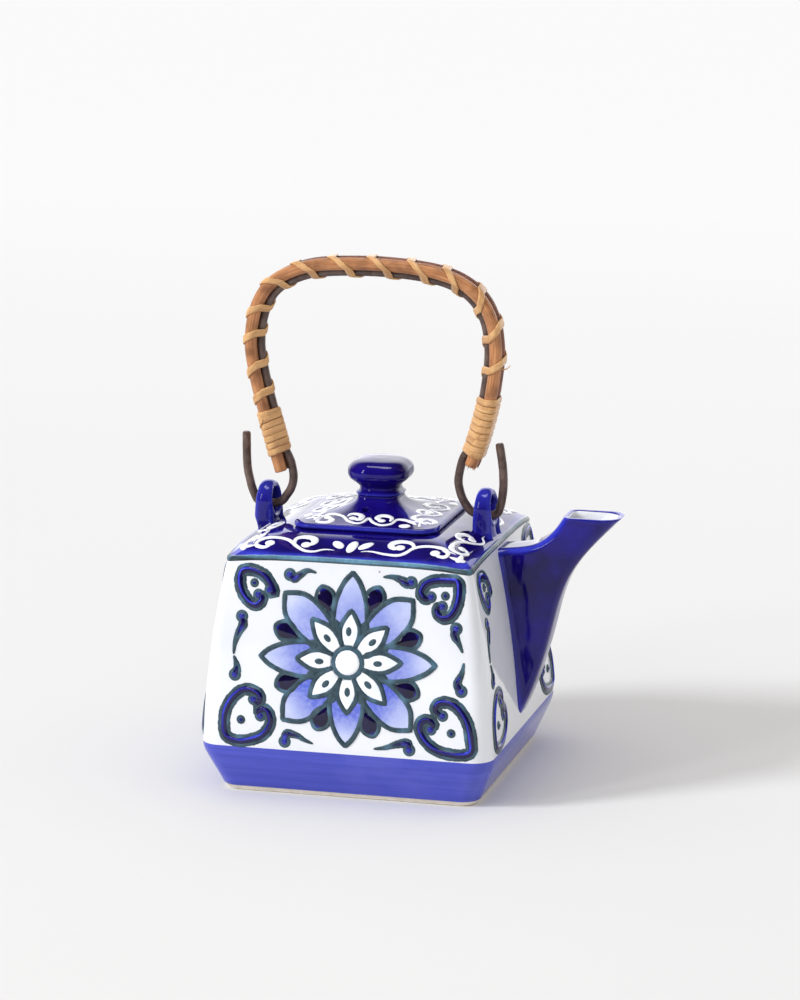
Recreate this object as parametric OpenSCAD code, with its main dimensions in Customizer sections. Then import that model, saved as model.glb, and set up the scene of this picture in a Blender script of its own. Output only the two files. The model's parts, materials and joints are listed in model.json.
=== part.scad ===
// Square glazed teapot with a lift-off lid and a cane bail handle.
// Origin: centre of the foot. +Z up, +X towards the spout, -Y is the decorated front.

/* [Pot] */
// Width across the square foot
foot_w = 97; // [90:0.5:104]
// Corner radius of the foot
foot_r = 6.3; // [3:0.1:9]
// Width across the widest ridge
ridge_w = 112; // [107:0.5:135]
// Corner radius at the ridge
ridge_r = 8; // [4:0.1:11]
// Height of the ridge above the table
ridge_z = 17; // [12:0.5:21]
// Width across the shoulder edge
shoulder_w = 93.4; // [91:0.2:97]
// Corner radius at the shoulder edge
shoulder_r = 3; // [1.5:0.1:6]
// Height of the shoulder edge
shoulder_z = 90.6; // [76:0.2:109]
// How far the shoulder corners dip below the middle of its edges
corner_dip = 1.9; // [0:0.1:3]
// How far each wall bows outwards at mid height
wall_bow = 1.5; // [0:0.1:2.5]
// Rise of the pillowed roof from shoulder edge to lid seat
roof_rise = 5.8; // [4.5:0.1:7]
// Thickness of the fired walls
wall = 3.6; // [2.8:0.1:4.6]
// Thickness of the floor
floor_t = 4.5; // [3.5:0.1:6]
// Width of the foot rim
foot_rim = 6; // [4:0.1:9]
// Depth of the recess inside the foot rim
foot_recess = 1.6; // [1:0.1:2.4]

/* [Lid] */
// Width across the square lid
lid_w = 55.4; // [46:0.2:58]
// Corner radius of the lid
lid_r = 7; // [4:0.1:9]
// Height of the lid's rounded rim
lid_rim_h = 2.3; // [1.8:0.1:3]
// Height of the neck above the rim
neck_rise = 7.1; // [6:0.1:9]
// Width across the neck under the knob
neck_w = 16; // [13:0.2:19]
// Thickness of the lid's shell
lid_wall = 3.2; // [2.6:0.1:4]
// Width of the ledge that the lid rests on
seat_ledge = 5.2; // [4:0.1:7]
// Gap all round between the lid's flange and the mouth
flange_gap = 0.9; // [0.4:0.1:1.4]
// Depth of the flange below the seat
flange_h = 6; // [4:0.5:9]
// Gap that the glaze leaves between lid and seat
seat_gap = 0.1; // [0.05:0.05:0.3]
// Diameter of the steam hole
steam_d = 3; // [2:0.1:4]
// Distance of the steam hole from the lid's centre, towards the front
steam_y = 12.4; // [11.5:0.1:15]
// Sideways place of the steam hole
steam_x = -2.4; // [-5:0.1:5]

/* [Knob] */
// Width across the knob's pillow
knob_w = 23.8; // [20:0.2:27]
// Height of the knob above the neck
knob_h = 13.8; // [12:0.2:16]

/* [Spout] */
// Width of the spout from its front side to its back side
spout_w = 15.6; // [13:0.2:19]
// Wall of the spout
spout_wall = 2.5; // [2:0.1:3.2]
// Reach of the spout's tip from the pot's centre
spout_reach = 93.4; // [86:0.2:104]
// Height of the pouring lip above the shoulder edge
lip_rise = 11.2; // [8:0.2:14]
// Length of the pouring mouth
lip_len = 21.6; // [17:0.2:25]
// Height of the spout's lowest point
spout_z = 19.5; // [18:0.5:24]
// Diameter of the strainer holes
strainer_d = 4; // [3:0.1:4.4]
// Distance between the strainer holes
strainer_step = 5.4; // [5.2:0.1:5.8]
// Height of the middle of the strainer
strainer_z = 55; // [48:0.5:60]

/* [Lugs] */
// Distance of the left lug from the centre
lug_left_x = 44.4; // [43:0.1:45]
// Distance of the right lug from the centre
lug_right_x = 40.8; // [39.5:0.1:42]
// Thickness of a lug along the hinge line
lug_t = 7.4; // [6:0.1:8]
// Width of a lug across the hinge line
lug_w = 15.4; // [14:0.1:17]
// Diameter of the hole for the bail
lug_hole_d = 9; // [8.5:0.1:9.4]
// Height of the hole's centre above the lid seat
lug_hole_rise = 5.9; // [5.6:0.1:7.5]
// Height of the left lug above its hole's centre
lug_left_top = 6.2; // [5.9:0.1:8.5]
// Height of the right lug above its hole's centre
lug_right_top = 7.7; // [5.9:0.1:8.5]

/* [Handle] */
// Diameter of each of the two canes
cane_d = 5; // [4.2:0.1:6]
// Diameter of the steel wire
wire_d = 3.3; // [2.6:0.1:3.4]
// Running clearance between the wire and the bottom of the lug holes
hinge_gap = 0.1; // [0.05:0.05:0.1]
// Straight stretch of wire inside each lug
pin_len = 4.6; // [4:0.1:5]
// Space between the lid and the wire's left leg
left_leg_gap = 5.1; // [1:0.1:6]
// Space between the lid and the wire's right leg
right_leg_gap = 0.85; // [0.6:0.05:2]
// Gap that separates the bundled rods
rod_gap = 0.05; // [0.02:0.01:0.1]
// Thickness of the split-cane strip
strip_t = 0.55; // [0.4:0.05:0.7]
// Width of the split-cane strip
strip_w = 2.6; // [2.2:0.1:3]
// Number of open turns of the spiral binding
binding_turns = 13; // [11:1:15]
// Length of the left whipping
left_whip = 18; // [14:0.5:20]
// Length of the right whipping
right_whip = 24; // [18:0.5:26]
// Bare cane below the left whipping
left_tail = 6; // [4:0.5:8]
// Bare cane below the right whipping
right_tail = 4; // [3:0.5:6]

/* [Hidden] */

eps = 0.01;
corner_steps = 6;
seat_z = shoulder_z + roof_rise;
seat_w = lid_w + 1;
mouth_w = lid_w - 2 * seat_ledge;
seat_r = lid_r + 0.5;
lug_hole_z = seat_z + lug_hole_rise;
hinge_z = lug_hole_z - lug_hole_d / 2 + hinge_gap + wire_d / 2;

// ---- plane shapes and lofts ----
function mix(a, b, t) = a + (b - a) * t;
function quarter(c, r, start) =
    [for (i = [0 : corner_steps]) let (a = start + 90 * i / corner_steps) c + r * [cos(a), sin(a)]];
function rounded_square(w, r) = let (c = w / 2 - r)
    concat(quarter([c, c], r, 0), quarter([-c, c], r, 90),
           quarter([-c, -c], r, 180), quarter([c, -c], r, 270));
function at_height(ring, z) = [for (p = ring) [p.x, p.y, z]];
// Lowers the corners of a square ring, and leaves the middle of its sides
function dipped(ring, z, w, dip) =
    [for (p = ring) [p.x, p.y, z - dip * pow(2 * min(abs(p.x), abs(p.y)) / w, 4)]];

// Skin over rings of equal length, closed by flat or fanned ends
module loft(rings) {
    n = len(rings[0]);
    last = len(rings) - 1;
    sides = [for (k = [0 : last - 1], i = [0 : n - 1]) let (j = (i + 1) % n)
        each [[k * n + i, (k + 1) * n + i, (k + 1) * n + j], [k * n + i, (k + 1) * n + j, k * n + j]]];
    floor_face = [for (i = [0 : n - 1]) i];
    top_face = [for (i = [n - 1 : -1 : 0]) last * n + i];
    polyhedron([for (ring = rings) each ring], concat(sides, [floor_face, top_face]));
}

// Tube skin: an outer and an inner loft joined at both ends
module tube_loft(outer, inner) {
    n = len(outer[0]);
    last = len(outer) - 1;
    base = n * (last + 1);
    outer_sides = [for (k = [0 : last - 1], i = [0 : n - 1]) let (j = (i + 1) % n)
        each [[k * n + i, (k + 1) * n + i, (k + 1) * n + j], [k * n + i, (k + 1) * n + j, k * n + j]]];
    inner_sides = [for (k = [0 : last - 1], i = [0 : n - 1]) let (j = (i + 1) % n)
        each [[base + k * n + i, base + (k + 1) * n + j, base + (k + 1) * n + i],
              [base + k * n + i, base + k * n + j, base + (k + 1) * n + j]]];
    first_end = [for (i = [0 : n - 1]) let (j = (i + 1) % n)
        each [[i, j, base + j], [i, base + j, base + i]]];
    last_end = [for (i = [0 : n - 1]) let (j = (i + 1) % n, o = last * n)
        each [[o + i, base + o + i, base + o + j], [o + i, base + o + j, o + j]]];
    polyhedron([for (ring = concat(outer, inner)) each ring],
               concat(outer_sides, inner_sides, first_end, last_end));
}

// ---- pot ----
function wall_w(t) = mix(ridge_w, shoulder_w, t) + 8 * wall_bow * t * (1 - t);
function wall_ring(t, inset) = let (w = wall_w(t) - 2 * inset, r = mix(ridge_r, shoulder_r, t))
    dipped(rounded_square(w, max(1, r - inset / 2)), mix(ridge_z, shoulder_z, t), w, corner_dip * t * t);
function roof_ring(s, inset, drop) =
    let (w = mix(shoulder_w, seat_w, s) - 2 * inset, r = mix(shoulder_r, seat_r, s))
    dipped(rounded_square(w, max(1, r - inset / 2)), shoulder_z + roof_rise * sin(90 * s) - drop,
           w, corner_dip * pow(1 - s, 2));
roof_steps = [0.2, 0.4, 0.6, 0.8, 1];
wall_steps = [0, 0.2, 0.4, 0.6, 0.8, 1];

module pot_outside() {
    foot = at_height(rounded_square(foot_w, foot_r), 0);
    loft(concat([foot], [for (t = wall_steps) wall_ring(t, 0)], [for (s = roof_steps) roof_ring(s, 0, 0)]));
}

module pot_inside() {
    foot = at_height(rounded_square(foot_w - 1.4 * wall, foot_r), floor_t);
    loft(concat([foot], [for (t = [0, 0.2, 0.4, 0.6, 0.8, 0.94]) wall_ring(t, wall)],
                [for (s = roof_steps) roof_ring(s, wall, wall)]));
}

module square_plug(w, r, z0, z1) {
    translate([0, 0, z0]) linear_extrude(height = z1 - z0) polygon(rounded_square(w, r));
}

module strainer_holes() {
    for (row = [-1.5 : 1.5], side = [-0.5, 0.5])
        translate([ridge_w / 2 - 4 * wall, side * strainer_step, strainer_z + row * strainer_step])
            rotate([0, 90, 0]) cylinder(h = 5 * wall, d = strainer_d, $fn = 32);
}

module pot_body() {
    color("aliceblue") difference() {
        pot_outside();
        pot_inside();
        square_plug(mouth_w, lid_r - 1, seat_z - 3 * wall, seat_z + 1);
        square_plug(foot_w - 2 * foot_rim, foot_r, -1, foot_recess);
        strainer_holes();
    }
}

// ---- spout ----
function bezier(a, b, c, d, n) = [for (i = [0 : n]) let (t = i / n, u = 1 - t)
    u * u * u * a + 3 * u * u * t * b + 3 * u * t * t * c + t * t * t * d];
function tail(pts) = [for (i = [1 : len(pts) - 1]) pts[i]];
function reversed(pts) = [for (i = [len(pts) - 1 : -1 : 0]) pts[i]];
function unit(v) = v / norm(v);
function left_of(v) = [-v.y, v.x];
// Parallel copy of an open line of points, to its left
function parallel(pts, gap) = let (last = len(pts) - 1)
    [for (i = [0 : last])
        pts[i] + gap * left_of(unit(pts[min(i + 1, last)] - pts[max(i - 1, 0)]))];

lip_z = shoulder_z + lip_rise;
spout_tip = [spout_reach, lip_z];
spout_brow = spout_tip - [lip_len, 0];
spout_root_top = [shoulder_w / 2 - 2, shoulder_z - 2.4];
spout_root_low = [ridge_w / 2 - 3, spout_z];
// Upper line from the wall to the pouring mouth, and the bend where it turns up
top_bend = spout_root_top + [17.5, 3.2];
spout_top = concat(bezier(spout_root_top, spout_root_top + [9, 0.8], spout_root_top + [14, 1.2], top_bend, 6),
    tail(bezier(top_bend, top_bend + [4, 2.4], spout_brow - [3.2, 5.5], spout_brow, 6)));
// Lower line from the wall to the tip, and the point where it starts to lean out
keel_bend = [mix(spout_root_low.x, spout_tip.x, 0.386), mix(spout_root_low.y, spout_tip.y, 0.529)];
spout_keel = concat(bezier(spout_root_low, spout_root_low + [8, 14], keel_bend - [3.4, 14], keel_bend, 8),
    tail(bezier(keel_bend, keel_bend + [4.2, 18.5], spout_tip - [15, 15.3], spout_tip, 8)));

module side_profile(w, pts) {
    rotate([90, 0, 0]) translate([0, 0, -w / 2]) linear_extrude(height = w) polygon(pts);
}

module spout() {
    top_in = parallel(spout_top, -spout_wall);
    keel_in = parallel(spout_keel, spout_wall);
    last = len(spout_top) - 1;
    color("mediumblue") difference() {
        side_profile(spout_w, concat(spout_top, reversed(spout_keel)));
        side_profile(spout_w - 2 * spout_wall,
            concat(top_in, [top_in[last] + [1, 3], spout_tip + [-1, 3]], reversed(keel_in)));
        pot_outside();
    }
}

// ---- lugs ----
lug_foot_z = shoulder_z + 0.4;

module lug(x, top) {
    color("blue") difference() {
        translate([x - lug_t / 2, 0, lug_hole_z]) rotate([90, 0, 90]) linear_extrude(height = lug_t) union() {
            translate([0, top - lug_w / 2]) circle(d = lug_w, $fn = 64);
            translate([-lug_w / 2, lug_foot_z - lug_hole_z])
                square([lug_w, top - lug_w / 2 + lug_hole_z - lug_foot_z]);
        }
        translate([x - lug_t, 0, lug_hole_z]) rotate([0, 90, 0]) cylinder(h = 2 * lug_t, d = lug_hole_d, $fn = 64);
        pot_outside();
    }
}

module lug_left() lug(-lug_left_x, lug_left_top);

module lug_right() lug(lug_right_x, lug_right_top);

// ---- lid ----
lid_z = seat_z + seat_gap;
rim_z = lid_z + lid_rim_h;
neck_z = rim_z + neck_rise;
rim_top_w = lid_w - 3.4;
// The lid's roof sweeps up to the neck in a hollow curve
function lid_curve_w(u) = neck_w + (rim_top_w - neck_w) * pow(1 - u, 2.6);
function lid_corner(w) = min(lid_r, 0.28 * w);
function lid_ring(w, z) = at_height(rounded_square(w, lid_corner(w)), z);
lid_steps = [0, 0.08, 0.18, 0.3, 0.45, 0.62, 0.8, 1];

module lid() {
    rim = [lid_ring(lid_w - 1.6, lid_z), lid_ring(lid_w - 0.3, lid_z + 0.5), lid_ring(lid_w, lid_z + 1),
           lid_ring(lid_w - 0.4, rim_z - 0.6), lid_ring(lid_w - 1.6, rim_z - 0.1)];
    roof = [for (u = lid_steps) lid_ring(lid_curve_w(u), mix(rim_z, neck_z, u))];
    flange_w = mouth_w - 2 * flange_gap;
    hollow_w = flange_w - 2 * lid_wall;
    color("darkblue") difference() {
        union() {
            loft(concat(rim, roof));
            square_plug(flange_w, lid_r - 1 - flange_gap, lid_z - flange_h, lid_z + eps);
        }
        loft([lid_ring(hollow_w, lid_z - flange_h - 1), lid_ring(hollow_w, lid_z),
              lid_ring(hollow_w * 0.6, rim_z), lid_ring(hollow_w * 0.3, rim_z + neck_rise * 0.35)]);
        translate([steam_x, -steam_y, lid_z]) cylinder(h = neck_rise + lid_rim_h, d = steam_d, $fn = 32);
    }
}

// Knob rings: share of the knob's width, share of its height
knob_rings = [[0.70, 0], [0.72, 0.05], [0.70, 0.1], [0.69, 0.16], [0.76, 0.25], [0.9, 0.36], [0.98, 0.46],
              [1, 0.56], [0.98, 0.68], [0.9, 0.81], [0.74, 0.92], [0.5, 0.98], [0.25, 1]];

module lid_knob() {
    color("navy") loft([for (k = knob_rings) let (w = k[0] * knob_w)
        at_height(rounded_square(w, 0.27 * w), neck_z + k[1] * knob_h)]);
}

// ---- handle ----
// Middle line of the two canes, as x and height, from the left end to the right end.
// Heights are above the hinge line, for a handle that stands upright.
bow_points = [[-38.6, 12.9], [-40.6, 20], [-42.9, 28.5], [-45.3, 37], [-47.6, 46], [-49.2, 54], [-50, 61],
              [-49.4, 69], [-47.2, 77], [-42.8, 84], [-35.6, 89], [-26, 92.2], [-14, 93.4], [0, 93.6],
              [13, 92.8], [24, 91], [32.6, 87.6], [39.2, 82], [43.4, 74], [44.9, 65], [44.8, 57], [43.6, 48],
              [41.8, 39], [39.2, 29.5], [37, 23], [35.4, 18.9]];
function spline_point(a, b, c, d, t) = 0.5 * (2 * b + (c - a) * t + (2 * a - 5 * b + 4 * c - d) * t * t
    + (3 * b - a - 3 * c + d) * t * t * t);
// Smooth curve through hand-set points
function spline(pts, steps) = let (last = len(pts) - 1) concat(
    [for (i = [0 : last - 1], k = [0 : steps - 1])
        spline_point(i > 0 ? pts[i - 1] : 2 * pts[0] - pts[1], pts[i], pts[i + 1],
                     i < last - 1 ? pts[i + 2] : 2 * pts[last] - pts[last - 1], k / steps)],
    [pts[last]]);

bow = spline(bow_points, 3);
bow_last = len(bow) - 1;
function run(pts, i) = i == 0 ? 0 : run(pts, i - 1) + norm(pts[i] - pts[i - 1]);
bow_run = [for (i = [0 : bow_last]) run(bow, i)];
bow_len = bow_run[bow_last];
bow_x = [for (i = [0 : bow_last]) [bow_run[i], bow[i].x]];
bow_h = [for (i = [0 : bow_last]) [bow_run[i], bow[i].y]];
// Point on the bow, and unit direction along it, at a distance from the left end
function bow_at(s) = [lookup(s, bow_x), lookup(s, bow_h)];
function bow_dir(s) = unit(bow_at(min(s + 1.5, bow_len)) - bow_at(max(s - 1.5, 0)));

// The wire lies in the groove between the canes, on the inner side
wire_drop = sqrt(pow((cane_d + wire_d) / 2 + rod_gap, 2) - pow((cane_d + rod_gap) / 2, 2));
cane_y = (cane_d + rod_gap) / 2;
// Rods of the bundle: sideways place, inward place, radius
rods = [[-cane_y, 0, cane_d / 2], [cane_y, 0, cane_d / 2], [0, wire_drop, wire_d / 2]];
function reach(rod, u) = rod[0] * u.x + rod[1] * u.y + rod[2];
// Point on a cord pulled tight round the bundle, where it faces the angle a
function around(a, gap) = let (u = [cos(a), sin(a)], k = reach(rods[0], u) >= reach(rods[1], u)
        ? (reach(rods[0], u) >= reach(rods[2], u) ? 0 : 2) : (reach(rods[1], u) >= reach(rods[2], u) ? 1 : 2))
    [rods[k][0], rods[k][1]] + (rods[k][2] + gap) * u;
// Place in the pot's frame of a bundle point: sideways, inward, at a distance along the bow
function in_bundle(p, s) = let (d = bow_dir(s), c = bow_at(s), n = [d.y, -d.x], q = c + p.y * n)
    [q.x, p.x, hinge_z + q.y];

// Round rod along a line of x, height points in the plane y
module rod(pts, d, y, sides) {
    last = len(pts) - 1;
    loft([for (i = [0 : last]) let (t = unit(pts[min(i + 1, last)] - pts[max(i - 1, 0)]), n = left_of(t))
        [for (k = [0 : sides - 1]) let (a = 360 * k / sides, q = pts[i] + d / 2 * cos(a) * n)
            [q.x, y - d / 2 * sin(a), hinge_z + q.y]]]);
}

module cane(y) rod([for (i = [0 : 2 : bow_last]) bow[i]], cane_d, y, 14);

module cane_front() color("peru") cane(-cane_y);

module cane_back() color("sienna") cane(cane_y);

// Stretch of wire that turns in a lug hole
module hinge_pin(x0, x1) {
    translate([x0, 0, hinge_z]) rotate([0, 90, 0]) cylinder(h = x1 - x0, d = wire_d, $fn = 48);
}

// Bend that leaves the hinge line at x and turns upwards; side is -1 to the left, 1 to the right
function bend(x, side, r, turn) = [for (i = [0 : 6]) let (a = turn * i / 6) [x + side * r * sin(a), r * (1 - cos(a))]];
// Bend followed by a smooth run through hand-set points
function bent_run(first, pts) = concat(first, [for (i = [1 : 3 * len(pts)]) spline(concat([first[6]], pts), 3)[i]]);
function inside_bow(s, drop) = let (d = bow_dir(s)) bow_at(s) + drop * [d.y, -d.x];

left_pin = [-lug_left_x - pin_len / 2, -lug_left_x + pin_len / 2];
right_pin = [lug_right_x - pin_len / 2, lug_right_x + pin_len / 2];
left_leg_x = -(lid_w / 2 + left_leg_gap + wire_d / 2);
right_leg_x = lid_w / 2 + right_leg_gap + wire_d / 2;
slack = wire_drop + 0.7;
left_hook = bent_run(bend(left_pin[0], -1, 3, 64),
    [for (p = [[-6.4, 5], [-7.3, 8.4], [-8.2, 12.8], [-8.5, 18.5], [-8.5, 27.4]]) p - [lug_left_x, 0]]);
right_hook = bent_run(bend(right_pin[1], 1, 3, 66),
    [for (p = [[5.9, 5], [6.5, 9], [6.7, 13.6], [6.3, 19.6], [5.1, 27.8]]) p + [lug_right_x, 0]]);
left_leg = bent_run(bend(left_pin[1], 1, 5, 60),
    [[left_leg_x - 1, 6.1], [left_leg_x, 10.6], inside_bow(2.5, slack), inside_bow(left_tail + 1, wire_drop)]);
right_leg = bent_run(bend(right_pin[0], -1, 6, 50),
    [[right_leg_x + 1.6, 5.6], [right_leg_x + 0.3, 9.6], [right_leg_x, 13.6],
     inside_bow(bow_len - 0.3, slack), inside_bow(bow_len - right_tail - 1, wire_drop)]);

module handle_wire() {
    covered = [for (s = [left_tail + 5 : 4.5 : bow_len - right_tail - 5]) inside_bow(s, wire_drop)];
    rest = reversed(right_leg);
    pin_lap = 0.4;
    slim = wire_d - 0.04;
    color("dimgray") union() {
        rod(concat([left_hook[0] + [pin_lap, 0]], left_hook), slim, 0, 12);
        rod(concat([right_hook[0] - [pin_lap, 0]], right_hook), slim, 0, 12);
        rod(concat([left_leg[0] - [pin_lap, 0]], left_leg, covered, rest, [rest[len(rest) - 1] + [pin_lap, 0]]),
            slim, 0, 12);
        hinge_pin(left_pin[0], left_pin[1]);
        hinge_pin(right_pin[0], right_pin[1]);
    }
}

binding_start = left_tail + left_whip + 0.6;
binding_end = bow_len - right_tail - right_whip - 0.6;
binding_gap = 0.1;

module spiral_binding() {
    steps = 18;
    total = binding_turns * steps;
    run_len = binding_end - binding_start - strip_w;
    color("burlywood") loft([for (i = [0 : total]) let (
            s = binding_start + strip_w / 2 + run_len * i / total, a = -360 * i / steps,
            under = around(a, binding_gap), over = around(a, binding_gap + strip_t))
        [in_bundle(under, s - strip_w / 2), in_bundle(under, s + strip_w / 2),
         in_bundle(over, s + strip_w / 2), in_bundle(over, s - strip_w / 2)]]);
}

// Close turns of strip, as one sleeve with a groove between turns
module whipping(s0, s1) {
    turns = round((s1 - s0) / strip_w);
    pitch = (s1 - s0) / turns;
    stations = concat([for (k = [0 : turns - 1]) each [[s0 + k * pitch, 0.6], [s0 + (k + 0.5) * pitch, 1.1]]],
                      [[s1, 0.6]]);
    angles = [for (a = [345 : -15 : 0]) a];
    color("wheat") tube_loft(
        [for (st = stations) [for (a = angles) in_bundle(around(a, binding_gap + strip_t * st[1]), st[0])]],
        [for (st = stations) [for (a = angles) in_bundle(around(a, binding_gap), st[0])]]);
}

module whipping_left() whipping(left_tail, left_tail + left_whip);

module whipping_right() whipping(bow_len - right_tail - right_whip, bow_len - right_tail);

pot_body();
spout();
lug_left();
lug_right();
lid();
lid_knob();
handle_wire();
cane_front();
cane_back();
spiral_binding();
whipping_left();
whipping_right();
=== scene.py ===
"""Looks of a square glazed teapot with a lift-off lid and a cane bail handle."""

import json
import math
import random

import bmesh
import bpy
from mathutils import Matrix, Vector


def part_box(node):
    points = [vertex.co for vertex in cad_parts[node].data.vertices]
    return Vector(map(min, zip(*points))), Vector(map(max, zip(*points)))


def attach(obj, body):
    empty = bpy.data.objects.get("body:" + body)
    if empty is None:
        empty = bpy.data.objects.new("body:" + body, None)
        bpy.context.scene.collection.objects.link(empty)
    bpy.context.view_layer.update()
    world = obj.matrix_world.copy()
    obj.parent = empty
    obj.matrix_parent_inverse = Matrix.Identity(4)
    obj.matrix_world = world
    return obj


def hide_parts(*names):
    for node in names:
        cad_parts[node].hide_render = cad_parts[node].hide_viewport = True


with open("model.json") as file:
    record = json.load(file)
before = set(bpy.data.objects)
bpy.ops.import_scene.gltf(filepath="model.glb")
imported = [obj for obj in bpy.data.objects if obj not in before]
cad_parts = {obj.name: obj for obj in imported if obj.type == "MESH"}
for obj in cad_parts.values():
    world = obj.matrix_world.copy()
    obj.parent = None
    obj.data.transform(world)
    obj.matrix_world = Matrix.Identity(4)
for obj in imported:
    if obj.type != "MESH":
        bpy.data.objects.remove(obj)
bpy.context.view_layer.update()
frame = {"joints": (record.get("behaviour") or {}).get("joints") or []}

MM = 0.001          # every size below is in mm; a finished piece is scaled to metres


def box_mm(node):
    low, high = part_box(node)
    return low / MM, high / MM


# ---- sizes read from the frame ----
pot_low, pot_high = box_mm("pot_body")
lid_low, lid_high = box_mm("lid")
knob_low, knob_high = box_mm("lid_knob")
spout_low, spout_high = box_mm("spout")
lug_boxes = {"left": box_mm("lug_left"), "right": box_mm("lug_right")}
cane_low, cane_high = box_mm("cane_front")
wire_low, wire_high = box_mm("handle_wire")
swing = next(j for j in frame["joints"] if j["name"] == "handle_swing")
HINGE_Z = swing["pos_m"][2] / MM

RIDGE_W = pot_high.x - pot_low.x
SEAT_Z = pot_high.z
LID_W = lid_high.x - lid_low.x
NECK_Z = lid_high.z
KNOB_W = knob_high.x - knob_low.x
KNOB_H = knob_high.z - knob_low.z
SPOUT_W = spout_high.y - spout_low.y
LIP_Z = spout_high.z
SPOUT_REACH = spout_high.x
CANE_D = cane_high.y - cane_low.y
WIRE_D = wire_high.y - wire_low.y

# ---- sizes of the pot ----
FOOT_W, FOOT_R = 97, 6.3
RIDGE_R, RIDGE_Z = 8, 17
SHOULDER_W, SHOULDER_R = 93.4, 3
ROOF_RISE = 5.8
SHOULDER_Z = SEAT_Z - ROOF_RISE
CORNER_DIP = 1.9        # the shoulder corners sit lower than the middle of its edges
WALL_BOW = 1.5
WALL = 3.6
FLOOR_T = 4.5
FOOT_RIM, FOOT_RECESS = 6, 1.6
BARE_CLAY = 1.9         # height of the unglazed strip at the foot
BAND_TOP = RIDGE_Z + 2.1
EDGE_LINE = 1.5         # width of the painted line under the shoulder edge
SEAT_W, SEAT_R = LID_W + 1, 7.5
MOUTH_W, MOUTH_R = LID_W - 10.4, 6

# ---- sizes of the lid ----
LID_R = 7
LID_Z = SEAT_Z + 0.1
RIM_Z = LID_Z + 2.3
RIM_TOP_W = LID_W - 3.4
NECK_W = 16
FLANGE_W = MOUTH_W - 1.8
LID_WALL = 3.2
STEAM_D, STEAM_X, STEAM_Y = 3, -2.4, -12.4

# ---- sizes of the spout, lugs and handle ----
SPOUT_WALL = 2.3
LIP_LEN = 21.6
SPOUT_FOOT_Z = 19.5
STRAINER_D, STRAINER_STEP, STRAINER_Z = 4, 5.4, 55
LUG_HOLE_D = 9
PIN_LEN = 4.6
ROD_GAP = 0.05
LEFT_LEG_GAP, RIGHT_LEG_GAP = 5.1, 0.85     # from the lid's sides to the inner legs of the wire
STRIP_T, STRIP_W = 0.55, 2.6
LEFT_TAIL, LEFT_WHIP = 6, 18
RIGHT_TAIL, RIGHT_WHIP = 4, 24

# zones of the glazed pieces, in the order of their material slots
WHITE, COBALT, BAND, CLAY, LINE, PETAL, SLIP, INK = range(8)

RING_CORNER, RING_SIDE = 8, 12
RING = 4 * (RING_CORNER + RING_SIDE)


def mix(a, b, t):
    return a + (b - a) * t


def ease(t):
    t = min(max(t, 0.0), 1.0)
    return t * t * (3 - 2 * t)


# ---- shaping tools ----
def square_point(i, w, r):
    """Point i of RING round a rounded square of width w and corner radius r."""
    quarter, k = divmod(i % RING, RING_CORNER + RING_SIDE)
    flat = w / 2 - r
    if k < RING_SIDE:
        x, y = w / 2, mix(-flat, flat, k / RING_SIDE)
    else:
        a = math.radians(90 * (k - RING_SIDE) / RING_CORNER)
        x, y = flat + r * math.cos(a), flat + r * math.sin(a)
    for _ in range(quarter):
        x, y = -y, x
    return x, y


def dip(x, y, w, depth):
    return depth * (2 * min(abs(x), abs(y)) / w) ** 4


def ring_edges(bm, ring):
    return [bm.edges.get((ring[i], ring[(i + 1) % len(ring)])) for i in range(len(ring))]


def next_ring(bm, ring, zone=0):
    """Extrudes a closed ring of vertices, and gives the new ring in the same order."""
    made = bmesh.ops.extrude_edge_only(bm, edges=ring_edges(bm, ring))["geom"]
    new = {v for v in made if isinstance(v, bmesh.types.BMVert)}
    for face in made:
        if isinstance(face, bmesh.types.BMFace):
            face.material_index = zone
    return [next(e.other_vert(v) for e in v.link_edges if e.other_vert(v) in new) for v in ring]


def loft(bm, stations, capped=True):
    """Skin grown ring by ring from stations of (points, zone)."""
    points, zone = stations[0]
    ring = bmesh.ops.create_circle(bm, cap_ends=capped, radius=1, segments=len(points))["verts"]
    if capped:
        ring[0].link_faces[0].material_index = zone
    rings = [ring]
    for place, (points, zone) in enumerate(stations):
        if place:
            ring = next_ring(bm, ring, zone)
            rings.append(ring)
        for v, p in zip(ring, points):
            v.co = p
    if capped:
        for face in bmesh.ops.contextual_create(bm, geom=ring)["faces"]:
            face.material_index = zone
    return rings


def sheet(bm, nx, ny, place, zone=0):
    """Grid of nx by ny cells. place(s, t) gives each corner's point, with s and t from 0 to 1."""
    verts = bmesh.ops.create_grid(bm, x_segments=nx, y_segments=ny, size=0.5)["verts"]
    for face in {f for v in verts for f in v.link_faces}:
        face.material_index = zone
    for v in verts:
        v.co = place(min(max(v.co.x + 0.5, 0), 1), min(max(v.co.y + 0.5, 0), 1))
    return verts


def smooth_path(points, steps, closed=False):
    """Catmull-Rom curve through given points of any dimension."""
    points = [Vector(p) for p in points]
    n = len(points)
    out = []
    for i in range(n if closed else n - 1):
        b, c = points[i], points[(i + 1) % n]
        a = points[i - 1] if closed or i else 2 * points[0] - points[1]
        d = points[(i + 2) % n] if closed or i < n - 2 else 2 * points[-1] - points[-2]
        for k in range(steps):
            t = k / steps
            out.append(0.5 * (2 * b + (c - a) * t + (2 * a - 5 * b + 4 * c - d) * t * t
                              + (3 * b - a - 3 * c + d) * t ** 3))
    out.append(points[0].copy() if closed else points[-1].copy())
    return out


def along(points, share):
    """Point at a share of an evenly stepped list of points."""
    x = share * (len(points) - 1)
    i = min(int(x), len(points) - 2)
    return points[i].lerp(points[i + 1], x - i)


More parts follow.
